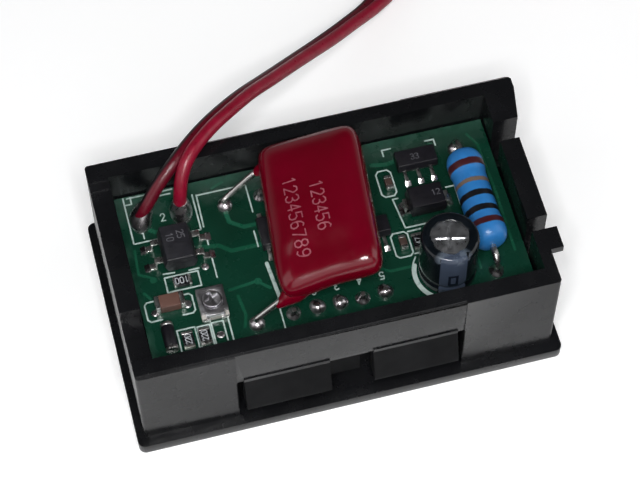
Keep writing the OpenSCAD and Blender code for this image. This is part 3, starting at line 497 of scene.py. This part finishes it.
def boardMask():
    made, tree, shader = newMaterial("board_laminate")
    x, y, _ = axes(tree)
    place = add(tree, "TexCoord").outputs["Object"]
    wave = {"Vector": place, "Scale": 1400, "Distortion": 0.6}
    weave = add(tree, "TexWave", wave, bands_direction="DIAGONAL").outputs["Fac"]
    mask = mottled(tree, 90, 4, (0.0016, 0.026, 0.014), (0.004, 0.046, 0.026), 0.72)
    mask = mixed(tree, combined(tree, "MULTIPLY", weave, 0.1), mask, (0.01, 0.08, 0.045))
    long = spread(tree, distance(tree, y), 0.0098, 0.0112, 0, 1)
    short = spread(tree, x, -0.0199, -0.0208, 0, 1)
    patches = spread(tree, noise(tree, 500, 5, 0.7), 0.42, 0.6, 0.1, 1)
    edge = combined(tree, "MULTIPLY", combined(tree, "MAXIMUM", long, short), patches)
    mask = mixed(tree, combined(tree, "MULTIPLY", edge, 0.5), mask, (0.05, 0.16, 0.11))
    flux = spread(tree, noise(tree, 420, 6, 0.72), 0.64, 0.76, 0, 0.35)
    link(tree, mixed(tree, flux, mask, (0.06, 0.13, 0.1)), shader, "Base Color")
    gloss = spread(tree, noise(tree, 300, 4), 0.3, 0.7, 0.22, 0.34)
    link(tree, combined(tree, "ADD", gloss, combined(tree, "MULTIPLY", edge, 0.3)), shader, "Roughness")
    fine = bumped(tree, shader, weave, 0.08, 0.00002)
    bumped(tree, shader, noise(tree, 260, 4), 0.12, 0.0001, fine)
    return made


def maskedCopper():
    made, tree, shader = newMaterial("masked_copper")
    link(tree, mottled(tree, 240, 4, (0.006, 0.07, 0.036), (0.011, 0.1, 0.055)), shader, "Base Color")
    roughened(tree, shader, 500, 4, 0.2, 0.34)
    bumped(tree, shader, noise(tree, 900, 3), 0.15, 0.00004)
    return made


def legendInk():
    made, tree, shader = newMaterial("legend_ink")
    wear = noise(tree, 1500, 5, 0.7)
    link(tree, ramp(tree, wear, [(0.28, (0.2, 0.32, 0.28)), (0.5, (0.5, 0.6, 0.57))]), shader, "Base Color")
    link(tree, spread(tree, wear, 0.3, 0.7, 0.45, 0.65), shader, "Roughness")
    bumped(tree, shader, noise(tree, 3000, 3), 0.3, 0.00002)
    return made


dress(boardMask(), "circuit_board")
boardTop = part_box("circuit_board")[1].z / mm
canAt = (12.45, -6.6)  # the electrolytic capacitor's axis
pins = {"row": 7.62, "x": np.arange(-2, 3) * 2.54 + 0.2}

legend = {
    "line": 0.17, "broad": 0.42, "arc": 0.45, "thick": 0.03, "arcRadii": (3.75, 3.55),
    "lines": [
        # the two wire holes and the film capacitor's outline
        [(-19.7, 5.05), (-19.7, 11)], [(-19.7, 5.05), (-16.6, 5.05)], [(-14, 5.05), (-12.2, 5.05)],
        [(-12.2, 5.05), (-12.2, 9.6)], [(-19.3, 10.9), (-14.2, 10.9)], [(-17.3, 10.4), (-14.5, 10.4)],
        [(-19.7, 10.1), (-18.9, 10.1), (-18.9, 10.95)],
        [(-11.6, 9.4), (-6.2, 9.4)], [(-11.75, 9.45), (-11.85, 5.3)], [(-11.85, 3.6), (-11.85, 3)],
        [(-11.85, 1.4), (-11.85, -1.2)], [(-11.85, -6), (-11.85, -9.2)],
        [(-6.2, 9.4), (-6.2, 5.8)], [(-6.2, -5.5), (-6.2, -9)], [(-6.65, 3.4), (-6.65, 1.4)],
        # round the small parts at the wire end
        [(-17.4, -1.75), (-13.7, -1.75), (-13.7, 0.1), (-17.4, 0.1), (-17.4, -1.75)],
        [(-17.4, 0.6), (-16.2, 0.5)], [(-14.6, 0.4), (-13.5, 0.4)],
        [(-18.7, -2.4), (-19.9, -2.4), (-20.2, -2.7), (-20.2, -4.5), (-19.9, -4.8), (-18.7, -4.8)],
        [(-16.4, -2.4), (-15.3, -2.4), (-15, -2.7), (-15, -4.5), (-15.3, -4.8), (-16.4, -4.8)],
        [(-17.5, -9.3), (-17.5, -6.5), (-15.55, -6.5), (-15.55, -9.3)],
        [(-15.3, -9.3), (-15.3, -6.6), (-13.95, -6.6), (-13.95, -9.3)],
        [(-13.75, -9.3), (-13.75, -6.5), (-12.45, -6.5), (-12.45, -8.9)],
        # round the small parts at the resistor end
        [(8.45, 7.3), (9.45, 7.3), (9.8, 6.9), (9.8, 4.3), (9.45, 3.9),
         (8.45, 3.9), (8.1, 4.3), (8.1, 6.9), (8.45, 7.3)],
        [(7.95, -0.8), (9.15, -0.8), (9.5, -1.15), (9.5, -3.55), (9.15, -3.9),
         (7.95, -3.9), (7.6, -3.55), (7.6, -1.15), (7.95, -0.8)],
        [(9.6, -0.9), (11.05, -0.9)], [(9.65, -3.75), (11.1, -3.75)],
        [(9.7, 3.45), (9.1, 3.45), (9.5, -0.4), (12, -0.4)], [(15.2, 3.5), (16.2, 3.5), (16.2, 1)],
        [(9.6, 9.1), (9.6, 9.9), (10.6, 9.9)], [(14.6, 9.9), (15.6, 9.9), (15.6, 9.1)],
    ]}


def arcLine(radius, bearings):
    return list(zip(canAt[0] + radius * np.cos(bearings), canAt[1] + radius * np.sin(bearings)))


def boardLegend():
    flat = (boardTop, legend["thick"])
    bearings = np.radians(np.linspace(140, 245, 14))
    strokes = []
    for line in legend["lines"] + [arcLine(legend["arcRadii"][0], bearings)]:
        strokes += strokeSolid(line, legend["line"], *flat)
    strokes += strokeSolid([(-6.25, -0.9), (-5.9, -5.3)], legend["broad"], *flat)
    strokes += strokeSolid(arcLine(legend["arcRadii"][1], bearings[2:12]), legend["arc"], *flat)
    for n, x in enumerate(pins["x"]):  # plain pin numbers, one beside each pin
        strokes += printDigits(str(n + 1), (x + 0.35, -5.5), 0.85, math.pi, 0.13, *flat)
    strokes += printDigits("1", (-18.7, 5.9), 0.9, 0.0, 0.15, *flat)
    strokes += printDigits("2", (-16.15, 7.6), 0.9, 0.0, 0.13, *flat)
    return joined(strokes)


copper = {
    "thick": 0.015, "padThick": 0.021,
    "runs": [  # width, then the line
        (0.5, [(-9.2, 7.3), (-9.0, 5.2), (-7.6, 4.2), (-5.2, 4.2)]),
        (0.5, [(-12.9, 2.9), (-10.8, 2.6), (-9.6, 1.6), (-6.4, 1.6)]),
        (0.5, [(-15.3, 5.9), (-17, 5.9), (-18, 6.6)]), (0.35, [(-10.9, -3.1), (-7.8, -2.75), (-6.6, -3.9)]),
        (0.35, [(-10.2, -4), (-9.9, -6.4), (-10.3, -7.8)]), (0.45, [(-13.6, -6), (-13.4, -5.5)]),
        (0.3, [(-19.8, 4.2), (-20, 1.2), (-18.6, 0.4)]), (0.3, [(-19.9, -1.2), (-19.4, -2)]),
        (0.35, [(8.9, -5.2), (6.4, -5.2), (5.6, -4.6)]), (0.5, [(10.6, 8.2), (9.6, 8), (8, 8.3)]),
        (0.3, [(19.4, 9.6), (20.2, 8), (20.4, 2), (20.3, -6)]),
        (0.3, [(14.9, -1.6), (16, -3.2), (16.1, -7.2)]),
        (0.4, [(-4.9, 10.1), (4, 10.1)]), (0.3, [(-8.6, 10.4), (-9.9, 9.9)])],
    "pads": [  # x, y and radius
        (-7.7, -2.8, 0.42), (-18.6, 0.15, 0.4), (-8.3, 8.6, 0.45), (15, 9.2, 0.35), (6.9, 6.9, 0.4),
        (7, -0.2, 0.35)]}


def boardTracks():
    strokes = []
    for width, line in copper["runs"]:
        strokes += strokeSolid(line, width, boardTop, copper["thick"])
    for x, y, r in copper["pads"]:
        strokes += strokeSolid([(x, y), (x + 0.01, y)], 2 * r, boardTop, copper["padThick"])
    return joined(strokes)


makePiece("board_legend", *boardLegend(), legendInk(), smooth=False, slot="board_laminate")
makePiece("board_tracks", *boardTracks(), maskedCopper(), smooth=False, slot="board_laminate")
print("board made")


# solder joints, each a profile of (share of radius, share of height)

fillet = [
    (1.0, 0.0), (0.96, 0.1), (0.86, 0.22), (0.72, 0.36), (0.58, 0.52),
    (0.46, 0.7), (0.38, 0.85), (0.3, 0.96), (0.16, 1.02), (0.02, 1.03)]
dome = [
    (1.0, 0.0), (1.04, 0.14), (1.02, 0.32), (0.93, 0.52), (0.78, 0.7),
    (0.58, 0.86), (0.34, 0.97), (0.15, 1.0), (0.02, 1.01)]
teardrop = [
    (1.0, 0.0), (1.05, 0.1), (1.05, 0.25), (1.0, 0.42), (0.92, 0.6),
    (0.82, 0.76), (0.73, 0.88), (0.64, 0.97), (0.4, 1.0), (0.02, 1.0)]
wireJoint = {
    "radius": 1.18, "height": 2.25, "tail": 0.5,
    "leans": [((-18.35, 7.8), (0.9, 0.5, 0)), ((-13.85, 7.8), (0.1, 0.18, 0))]}


def jointAt(x, y, radius, height, profile, wobble, seed):
    return revolve(smoothProfile(profile, 3) * [radius, height], 36, (x, y, boardTop), wobble, seed)


def wireJoints():
    parts = []
    for k, ((x, y), lean) in enumerate(wireJoint["leans"]):
        p, f = jointAt(x, y, wireJoint["radius"], wireJoint["height"], teardrop, 0.04, 60 + k)
        up = np.clip((p[:, 2] - boardTop) / wireJoint["height"], 0, 1)[:, None]
        p = p + up**2 * np.array(lean)  # leans into the wire
        p[:, 1] -= (1 - up[:, 0]) ** 2 * np.clip(y - p[:, 1], 0, 1) * wireJoint["tail"]
        parts.append((p, f))
    return joined(parts)


pinJoints = [
    jointAt(x, way * pins["row"], 0.85, 0.95, dome if k % 3 else fillet, 0.09, 11 + k * 3 + way)
    for k, x in enumerate(pins["x"]) for way in (-1, 1)]
leadSpots = ((-9, 7.4, dome), (-9, -7.8, dome), (17.6, 8, dome), (17.6, -8, fillet))
leadJoints = [jointAt(x, y, 0.87, 0.9, profile, 0.06, 40 + k) for k, (x, y, profile) in enumerate(leadSpots)]
padSpots = ((-13.1, -8.1, 0.42), (-15.75, -3.6, 0.5), (-19.3, -3.9, 0.42), (-12.75, 0.35, 0.4))
pads = [jointAt(x, y, r, 0.16, dome, 0.08, 80 + k) for k, (x, y, r) in enumerate(padSpots)]
makePiece("display_pin_joints", *joined(pinJoints), solder, replaces=("pin_solder",), slot="solder")
makePiece("lead_joints", *joined(leadJoints), solder, replaces=("lead_solder",), slot="solder")
makePiece("wire_joints", *wireJoints(), solder, replaces=("wire_solder",), slot="solder")
makePiece("bare_pads", *joined(pads), solder, slot="solder")
print("solder made")


# the film capacitor: a rounded block whose plan and side are both superellipses


def dippedRed():
    made, tree, shader = newMaterial("red_epoxy")
    link(tree, mottled(tree, 140, 4, (0.12, 0.0, 0.006), (0.155, 0.0, 0.01)), shader, "Base Color")
    roughened(tree, shader, 500, 5, 0.14, 0.26, 0.75)
    shader.inputs["Coat Weight"].default_value = 0.3
    shader.inputs["Coat Roughness"].default_value = 0.06
    shader.inputs["IOR"].default_value = 1.5
    bumped(tree, shader, noise(tree, 190, 3), 0.16, 0.00016)
    return made


film = {
    "at": (0.2, 1.1, 16.5), "turn": math.radians(-5.6), "tilt": math.radians(14.5), "half": (5.75, 9.0, 2.8),
    "plan": 9.0, "side": 3.0, "rings": 73, "around": 160, "crowd": 1.6, "corner": 0.75,
    "tails": [  # a line of red epoxy down each lead, with its radii
        ([(-3.4, -6.3, 15.2), (-4.9, -7.0, 14.5), (-5.9, -7.4, 14.0), (-6.7, -7.55, 13.5)],
         (1.5, 1.25, 0.7, 0.38)),
        ([(-3.8, 8.1, 15.6), (-4.7, 8.3, 15.1), (-5.3, 8.25, 14.8)], (1.1, 0.7, 0.38))],
    "leadRadius": 0.34,
    "leads": [
        [(-9, 7.4, 11.75), (-9, 7.42, 12.15), (-8.2, 7.7, 12.7), (-4.9, 8.4, 15.2)],
        [(-9, -7.8, 11.75), (-9, -7.78, 12.1), (-8.5, -7.7, 12.5), (-6.0, -7.3, 14.3)]]}


def onFilm(x, y, z):
    ct, st = math.cos(film["tilt"]), math.sin(film["tilt"])  # leans about Y, then turns about Z
    c, s = math.cos(film["turn"]), math.sin(film["turn"])
    flat = x * ct - z * st
    x0, y0, z0 = film["at"]
    return x0 + flat * c - y * s, y0 + flat * s + y * c, z0 + x * st + z * ct


def filmSag(u, v):
    dip = 0.3 * np.exp(-(((v + 0.66) / 0.17) ** 2))
    lip = 0.1 * np.exp(-(((v + 0.9) / 0.06) ** 2))
    crater = 0.1 * np.exp(-(((u - 0.46) / 0.1) ** 2) - ((v + 0.86) / 0.05) ** 2)
    return (dip - lip + crater) * np.clip(1 - u**4, 0, 1) + 0.06 * (1 - v)  # and a fall towards the near end


def powered(wave, exponent):
    return np.sign(wave) * np.abs(wave) ** exponent


def filmCapacitor():
    around = np.linspace(0, 2 * np.pi, film["around"], endpoint=False)
    t = np.linspace(-1, 1, film["rings"])
    angle = np.sign(t) * (1 - (1 - np.abs(t)) ** film["crowd"]) * np.pi / 2  # rings crowd at the edge
    flat = np.cos(angle) ** (2 / film["side"])
    u = flat[1:-1, None] * powered(np.cos(around), 2 / film["plan"])
    v = flat[1:-1, None] * powered(np.sin(around), 2 / film["plan"])
    w = np.repeat(powered(np.sin(angle), 2 / film["side"])[1:-1, None], len(around), 1)
    x = u * film["half"][0]
    y = v * film["half"][1] - film["corner"] * np.clip(-u, 0, 1) * np.clip(-v, 0, 1) ** 4
    z = w * film["half"][2] - np.clip(w, 0, 1) * filmSag(u, v)
    rings = np.stack(onFilm(x, y, z), -1).reshape(-1, 3)
    ends = np.array([onFilm(0, 0, -film["half"][2]), onFilm(0, 0, film["half"][2] - 0.06)])
    n, foot, head = len(around), len(rings), len(rings) + 1
    last = foot - n
    faces = gridFaces(u.shape[0], n)
    faces += [[foot, (i + 1) % n, i] for i in range(n)]
    faces += [[head, last + i, last + (i + 1) % n] for i in range(n)]
    return np.concatenate([rings, ends]), faces


def filmTail(path, radii):
    line = smoothLine(path, 6)
    share = np.linspace(0, 1, len(line))
    return sweep(line, np.interp(share, np.linspace(0, 1, len(radii)), radii), 28)


def paleInk(name, dark, light):
    made, tree, shader = newMaterial(name)
    link(tree, ramp(tree, noise(tree, 1800, 4, 0.7), [(0.3, dark), (0.6, light)]), shader, "Base Color")
    roughened(tree, shader, 900, 3, 0.4, 0.55)
    return made


def filmSurface(x, y):  # height of the upper face, sunk a little to bed the print
    u, v = x / film["half"][0], y / film["half"][1]
    out = (np.abs(u) ** film["plan"] + np.abs(v) ** film["plan"]) ** (film["side"] / film["plan"])
    w = np.clip(1 - out, 0, 1) ** (1 / film["side"])
    return w * film["half"][2] - w * filmSag(u, v) - 0.02


def filmPrint():
    reads, width, thick = -math.pi / 2 + 0.02, 0.14, 0.05
    marks = printDigits("123456789", (-2.3, 3.1), 1.42, reads, width, 0, thick, filmSurface, 3.05)
    marks += printDigits("123456", (0.55, 1.85), 1.38, reads, width, 0, thick, filmSurface, 2.95)
    points, faces = joined(marks)
    return np.column_stack(onFilm(*points.T)), faces


body = joined([filmCapacitor()] + [filmTail(path, radii) for path, radii in film["tails"]])
filmInk = paleInk("film_print_ink", (0.2, 0.03, 0.05), (0.36, 0.1, 0.13))
filmWires = joined([sweep(smoothLine(path, 6), film["leadRadius"], 20) for path in film["leads"]])
makePiece("film_capacitor_body", *body, dippedRed(), replaces=("film_capacitor",), slot="red_epoxy")
makePiece("film_capacitor_print", *filmPrint(), filmInk, smooth=False, slot="red_epoxy")
makePiece("film_capacitor_wires", *filmWires, tin, replaces=("film_capacitor_leads",), slot="tin")
print("film capacitor made")


# the power resistor

resistor = {
    "x": 17.6, "z": 13.25, "shift": 0.15, "soft": 0.08,
    "bands": [  # place along the body, half width, colour
        (3.75, 0.45, (0.05, 0.008, 0.012)), (1.45, 0.3, (0.15, 0.11, 0.085)),
        (-0.25, 0.4, (0.006, 0.006, 0.008)), (-2.15, 0.4, (0.006, 0.006, 0.008)),
        (-3.85, 0.42, (0.05, 0.008, 0.012))],
    "profile": [  # radius and distance from the middle, one half
        (0.42, 6.08), (1.0, 6.0), (1.5, 5.78), (1.83, 5.35), (2.02, 4.75), (2.05, 4.1),
        (2.03, 3.5), (1.93, 3.05), (1.88, 2.6), (1.88, 1.3), (1.88, 0.0)]}


def blueEnamel():
    made, tree, shader = newMaterial("blue_enamel")
    wavy = combined(tree, "MULTIPLY", noise(tree, 500, 3), 0.0003)
    along = combined(tree, "ADD", axes(tree)[1], wavy)
    tone = mottled(tree, 420, 4, (0.018, 0.15, 0.42), (0.03, 0.2, 0.52))
    for where, half, colour in resistor["bands"]:
        off = distance(tree, along, (where + resistor["shift"]) * mm)
        tone = mixed(tree, spread(tree, off, half * mm, (half - resistor["soft"]) * mm, 0, 1), tone, colour)
    link(tree, tone, shader, "Base Color")
    roughened(tree, shader, 900, 4, 0.28, 0.42)
    bumped(tree, shader, noise(tree, 420, 4), 0.3, 0.0001)
    return made


def resistorBody():
    half = resistor["profile"]
    line = smoothProfile(half + [(r, -h) for r, h in half[-2::-1]], 4)[::-1]
    points, faces = revolve(line, 64, (0, 0, 0), 0.012, 5)
    across, up, along = points.T
    return np.column_stack([across + resistor["x"], along, resistor["z"] - up]), faces


enamel = blueEnamel()
makePiece("power_resistor_body", *resistorBody(), enamel, replaces=("power_resistor",), slot="blue_enamel")
dress(tin, "power_resistor_leads", "electrolytic_leads", "red_wire_tip", "black_wire_tip", "display_pins")
print("resistor made")


# the electrolytic capacitor: a sleeve with a rolled lip, and a can with scored lines in its end

can = {
    "sides": 120, "innerLip": 2.6, "lipFrom": 18.135,
    "top": 17.98, "foot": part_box("electrolytic_can")[0].z / mm, "radius": 2.88,
    "endSides": 144, "scoreTurn": -0.23, "scoreWidth": 0.15, "scoreHigh": 0.11,
    "sleeve": [  # radius and height, up the outside and over the lip
        (2.7, 11.2), (3.06, 11.22), (3.14, 11.4), (3.15, 11.9), (3.15, 12.2), (3.0, 12.45), (2.99, 12.65),
        (3.01, 12.85), (3.15, 13.15), (3.15, 15.5), (3.15, 17.5), (3.12, 17.95), (3.0, 18.22), (2.8, 18.35),
        (2.6, 18.36), (2.35, 18.3), (2.15, 18.26), (2.03, 18.2), (2.0, 18.14)],
    "lining": [(2.1, 18.13), (2.8, 18.13), (2.96, 18.0), (2.96, 12.6), (2.6, 11.25)]}


def sleeveFilm():
    made, tree, shader = newMaterial("sleeve_film")
    x, y, z = axes(tree)
    dx, dy = combined(tree, "SUBTRACT", x, canAt[0] * mm), combined(tree, "SUBTRACT", y, canAt[1] * mm)
    off = distance(tree, combined(tree, "ARCTAN2", dy, dx), -1.69)  # angle from the stripe's middle
    high = distance(tree, z, 0.0142)  # from the middle of the printed box
    stripe = spread(tree, off, 0.5, 0.46, 0, 1)
    outer, tall = spread(tree, off, 0.19, 0.16, 0, 1), spread(tree, high, 0.0011, 0.00098, 0, 1)
    inner, short = spread(tree, off, 0.1, 0.07, 0, 1), spread(tree, high, 0.0007, 0.0006, 0, 1)
    hole = combined(tree, "SUBTRACT", 1.0, combined(tree, "MULTIPLY", inner, short))
    tone = mottled(tree, 500, 4, (0.002, 0.0035, 0.005), (0.005, 0.007, 0.01))
    tone = mixed(tree, stripe, tone, (0.05, 0.066, 0.1))
    line = combined(tree, "MULTIPLY", outer, tall, hole)
    tone = mixed(tree, line, tone, (0.008, 0.012, 0.022))
    folds = spread(tree, noise(tree, 650, 4, 0.6), 0.52, 0.58, 0, 0.65)  # pale creases at the stripe's top
    near = spread(tree, off, 0.75, 0.55, 0, 1)
    folds = combined(tree, "MULTIPLY", folds, near, spread(tree, z, 0.0172, 0.0177, 0, 1))
    link(tree, mixed(tree, folds, tone, (0.13, 0.16, 0.2)), shader, "Base Color")
    roughened(tree, shader, 700, 4, 0.12, 0.24)
    bumped(tree, shader, noise(tree, 520, 3), 0.3, 0.00012)
    return made


def capacitorSleeve():
    n = can["sides"]
    ring = np.concatenate([smoothProfile(can["sleeve"], 3), can["lining"]])
    points, _ = revolve(ring, n, (*canAt, 0), 0.0, 1)
    last = (len(ring) - 1) * n
    faces = gridFaces(len(ring), n) + [[last + i, last + (i + 1) % n, (i + 1) % n, i] for i in range(n)]
    dx, dy = points[:, 0] - canAt[0], points[:, 1] - canAt[1]
    bearing = np.arctan2(dy, dx)
    lip = points[:, 2] > can["lipFrom"]
    inward = np.clip((can["innerLip"] - np.hypot(dx, dy)) / 0.6, 0, 1) * lip
    wavy = 0.07 * np.sin(5 * bearing + 1) * np.cos(2 * bearing) + 0.03 * np.sin(11 * bearing)
    points[:, 0] += wavy * inward * np.cos(bearing)
    points[:, 1] += wavy * inward * np.sin(bearing)
    points[:, 2] += lip * 0.03 * np.sin(7 * bearing) * np.cos(3 * bearing + 1)
    return points, faces


def capacitorCan():
    n = can["endSides"]
    radii = np.concatenate([np.linspace(0, 2.3, 47)[1:], [2.6, can["radius"]]])
    bearings = np.linspace(0, 2 * np.pi, n, endpoint=False)
    r, a = np.meshgrid(radii, bearings, indexing="ij")
    x, y = r * np.cos(a), r * np.sin(a)
    cosine, sine = math.cos(can["scoreTurn"]), math.sin(can["scoreTurn"])
    along, across = x * cosine + y * sine, -x * sine + y * cosine
    score = np.exp(-((across / can["scoreWidth"]) ** 2)) * np.clip((1.7 - np.abs(along)) / 0.2, 0, 1)
    score *= 1 - 0.8 * np.exp(-((along / 0.16) ** 2))  # broken in its middle
    faint = np.exp(-(((along + 0.1) / 0.12) ** 2)) * np.clip((1.5 - np.abs(across)) / 0.2, 0, 1)
    z = can["top"] + can["scoreHigh"] * score - 0.035 * faint + 0.03 * (1 - (r / can["radius"]) ** 2)
    end = np.stack([canAt[0] + x, canAt[1] + y, z], -1).reshape(-1, 3)
    edge, foot, middle = (len(radii) - 1) * n, len(end), len(end) + n
    base = end[edge:] * [1, 1, 0] + [0, 0, can["foot"]]
    points = np.concatenate([end, base, [[*canAt, can["top"] + 0.02], [*canAt, can["foot"]]]])
    nexts = [(i, (i + 1) % n) for i in range(n)]
    faces = [f[::-1] for f in gridFaces(len(radii), n)]
    faces += [[middle, i, k] for i, k in nexts]
    faces += [[foot + i, foot + k, edge + k, edge + i] for i, k in nexts]
    faces += [[middle + 1, foot + k, foot + i] for i, k in nexts]
    return points, faces


sleeve = sleeveFilm()
makePiece(
    "capacitor_sleeve", *capacitorSleeve(), sleeve, replaces=("electrolytic_sleeve",), slot="sleeve_film")
makePiece("capacitor_can", *capacitorCan(), aluminium, replaces=("electrolytic_can",), slot="aluminium")
dress(castResin("rubber", (0.012, 0.012, 0.012), (0.025, 0.025, 0.024), 0.6), "electrolytic_seal")
print("electrolytic made")


# chips, small parts and their print


def mouldCompound(name, dark, light, rough):
    made, tree, shader = newMaterial(name)
    link(tree, ramp(tree, noise(tree, 900, 5, 0.6), [(0.3, dark), (0.7, light)]), shader, "Base Color")
    roughened(tree, shader, 2400, 3, rough, rough + 0.15)
    bumped(tree, shader, noise(tree, 3200, 4), 0.35, 0.00003)
    return made


chip = mouldCompound("mould_compound", (0.009, 0.009, 0.012), (0.017, 0.017, 0.022), 0.4)
darkChip = mouldCompound("mould_compound_dark", (0.005, 0.0045, 0.007), (0.009, 0.008, 0.012), 0.36)
brown = castResin("brown_ceramic", (0.105, 0.05, 0.038), (0.14, 0.07, 0.054), 0.35)
darkBrown = castResin("dark_ceramic", (0.05, 0.03, 0.025), (0.08, 0.05, 0.04), 0.35)
glass = castResin("resistor_glass", (0.006, 0.006, 0.007), (0.011, 0.011, 0.013), 0.22)
softened(["bridge_rectifier"], "bridge_body", 0.14, chip, segments=3)
softened(["regulator"], "regulator_body", 0.08, darkChip)
softened(["suppressor_diode"], "suppressor_body", 0.08, darkChip)
softened(["controller_chip"], "controller_body", 0.08, darkChip)
softened(["signal_diode"], "diode_body", 0.05, darkChip)
for node in (
        "bridge_rectifier_leads", "regulator_leads", "suppressor_diode_leads", "controller_leads_set",
        "trimmer_terminals"):
    softened([node], node + "_soft", 0.04, tin)
softened(["chip_solder"], "chip_joints", 0.12, solder, segments=3)
for node in ("ceramic_capacitor_ends", "small_capacitor_ends", "chip_resistor_ends", "signal_diode_ends"):
    softened([node], node + "_soft", 0.06, tin)
softened(["ceramic_capacitor"], "ceramic_body", 0.08, brown)
softened(["small_capacitors"], "small_capacitor_bodies", 0.05, darkBrown)
softened(["chip_resistors"], "chip_resistor_bodies", 0.04, glass)

printed = {  # digits, place, height, heading, pen width, pitch and the node whose top they lie on
    "chip_print": [
        ("10", (-15.9, 3.95), 0.75, -math.pi / 2, 0.09, 2.9, "bridge_rectifier"),
        ("25", (-14.7, 4.1), 0.75, -math.pi / 2, 0.09, 2.9, "bridge_rectifier"),
        ("33", (12.2, 7.35), 0.7, 0.0, 0.08, 2.9, "regulator"),
        ("12", (13.1, 2.0), 0.7, 0.0, 0.08, 2.9, "suppressor_diode")],
    "chip_resistor_print": [
        ("100", (-14.95, -0.85), 0.72, math.pi, 0.1, 2.9, "chip_resistors"),
        ("220", (-16.55, -8.6), 0.62, math.pi / 2, 0.09, 2.7, "chip_resistors"),
        ("220", (-14.75, -8.6), 0.62, math.pi / 2, 0.09, 2.7, "chip_resistors"),
        ("47", (10.35, -2.9), 0.6, math.pi / 2, 0.09, 2.9, "chip_resistors")]}
inkThick = 0.01


def chipPrint(name):
    marks = []
    for text, at, height, heading, width, pitch, node in printed[name]:
        marks += printDigits(text, at, height, heading, width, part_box(node)[1].z / mm, inkThick, pitch=pitch)
    return joined(marks)


greyInk = paleInk("chip_print_ink", (0.06, 0.06, 0.07), (0.13, 0.13, 0.145))
brightInk = paleInk("resistor_print_ink", (0.3, 0.31, 0.34), (0.5, 0.52, 0.55))
makePiece("chip_print", *chipPrint("chip_print"), greyInk, smooth=False, slot="mould_compound")
glassPrint = chipPrint("chip_resistor_print")
makePiece("chip_resistor_print", *glassPrint, brightInk, smooth=False, slot="resistor_glass")
print("chips made")

whiteCeramic = castResin("white_ceramic", (0.42, 0.4, 0.37), (0.55, 0.53, 0.49), 0.4)
softened(["trimmer_base"], "trimmer_base_soft", 0.06, whiteCeramic)
softened(["trimmer_frame"], "trimmer_frame_soft", 0.07, nickel)
softened(["trimmer_rotor"], "trimmer_rotor_soft", 0.07, nickel, body="rotor")
dress(nickel, "trimmer_pin")
print("trimmer made")


# the floor and the light

floorReach = 1.5


def whitePaper():
    made, tree, shader = newMaterial("studio_floor")
    link(tree, ramp(tree, noise(tree, 20), [(0.2, (0.86,) * 3), (0.8, (0.88,) * 3)]), shader, "Base Color")
    shader.inputs["Roughness"].default_value = 0.9
    seen = tree.nodes.new("ShaderNodeLightPath").outputs["Is Camera Ray"]
    shader.inputs["Emission Color"].default_value = (1, 1, 1, 1)
    link(tree, combined(tree, "MULTIPLY", seen, 0.3), shader, "Emission Strength")
    return made


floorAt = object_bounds()[0].z
floorData = bpy.data.meshes.new("floor")
corners = [(x * floorReach, y * floorReach, floorAt) for x, y in ((-1, -1), (1, -1), (1, 1), (-1, 1))]
floorData.from_pydata(corners, [], [(0, 1, 2, 3)])
floorData.materials.append(whitePaper())
floor = bpy.data.objects.new("floor", floorData)
bpy.context.scene.collection.objects.link(floor)


def areaLamp(name, shape, at, size, power):
    data = bpy.data.lights.new(name, "AREA")
    data.shape = shape
    data.size = size[0]
    if shape == "RECTANGLE":
        data.size_y = size[1]
    data.energy = power
    lamp = bpy.data.objects.new(name, data)
    bpy.context.scene.collection.objects.link(lamp)
    lamp.location = at
    lamp.rotation_euler = (Vector((0, 0, 0.01)) - Vector(at)).to_track_quat("-Z", "Y").to_euler()


areaLamp("left_box", "RECTANGLE", (-0.55, -0.05, 0.4), (0.5, 0.6), 0.8)
areaLamp("right_box", "RECTANGLE", (0.6, -0.1, 0.35), (0.45, 0.6), 1.0)
areaLamp("near_box", "RECTANGLE", (0.0, -0.62, 0.5), (0.9, 0.5), 1.2)
ring = {"lamps": 10, "radius": 0.03, "behind": 0.005, "size": 0.009, "power": 0.4}
for n in range(ring["lamps"]):  # a ring of small lamps round the lens
    bearing = 2 * math.pi * n / ring["lamps"]
    spoke = side * math.cos(bearing) + top * math.sin(bearing)
    at = place + spoke * ring["radius"] + back * ring["behind"]
    areaLamp("ring_lamp", "DISK", at, (ring["size"],), ring["power"] / ring["lamps"])

world = bpy.data.worlds.new("studio")
world.use_nodes = True
tree = world.node_tree
tree.nodes.clear()
rays = tree.nodes.new("ShaderNodeLightPath").outputs
height = add(tree, "SeparateXYZ", {0: add(tree, "TexCoord").outputs["Generated"]}).outputs[2]
mirrored = spread(tree, height, 0.2, 0.45, 0.2, 0.02)  # in reflections, paler near the horizon
dim = mixed(tree, rays["Is Glossy Ray"], (0.12, 0.12, 0.125), mirrored)
shade = mixed(tree, rays["Is Camera Ray"], dim, (1, 1, 1))
sky = add(tree, "Background", {"Color": shade})
worldOut = tree.nodes.new("ShaderNodeOutputWorld")
tree.links.new(sky.outputs[0], worldOut.inputs[0])
bpy.context.scene.world = world
bpy.context.scene.view_settings.view_transform = "Standard"
print("studio made")
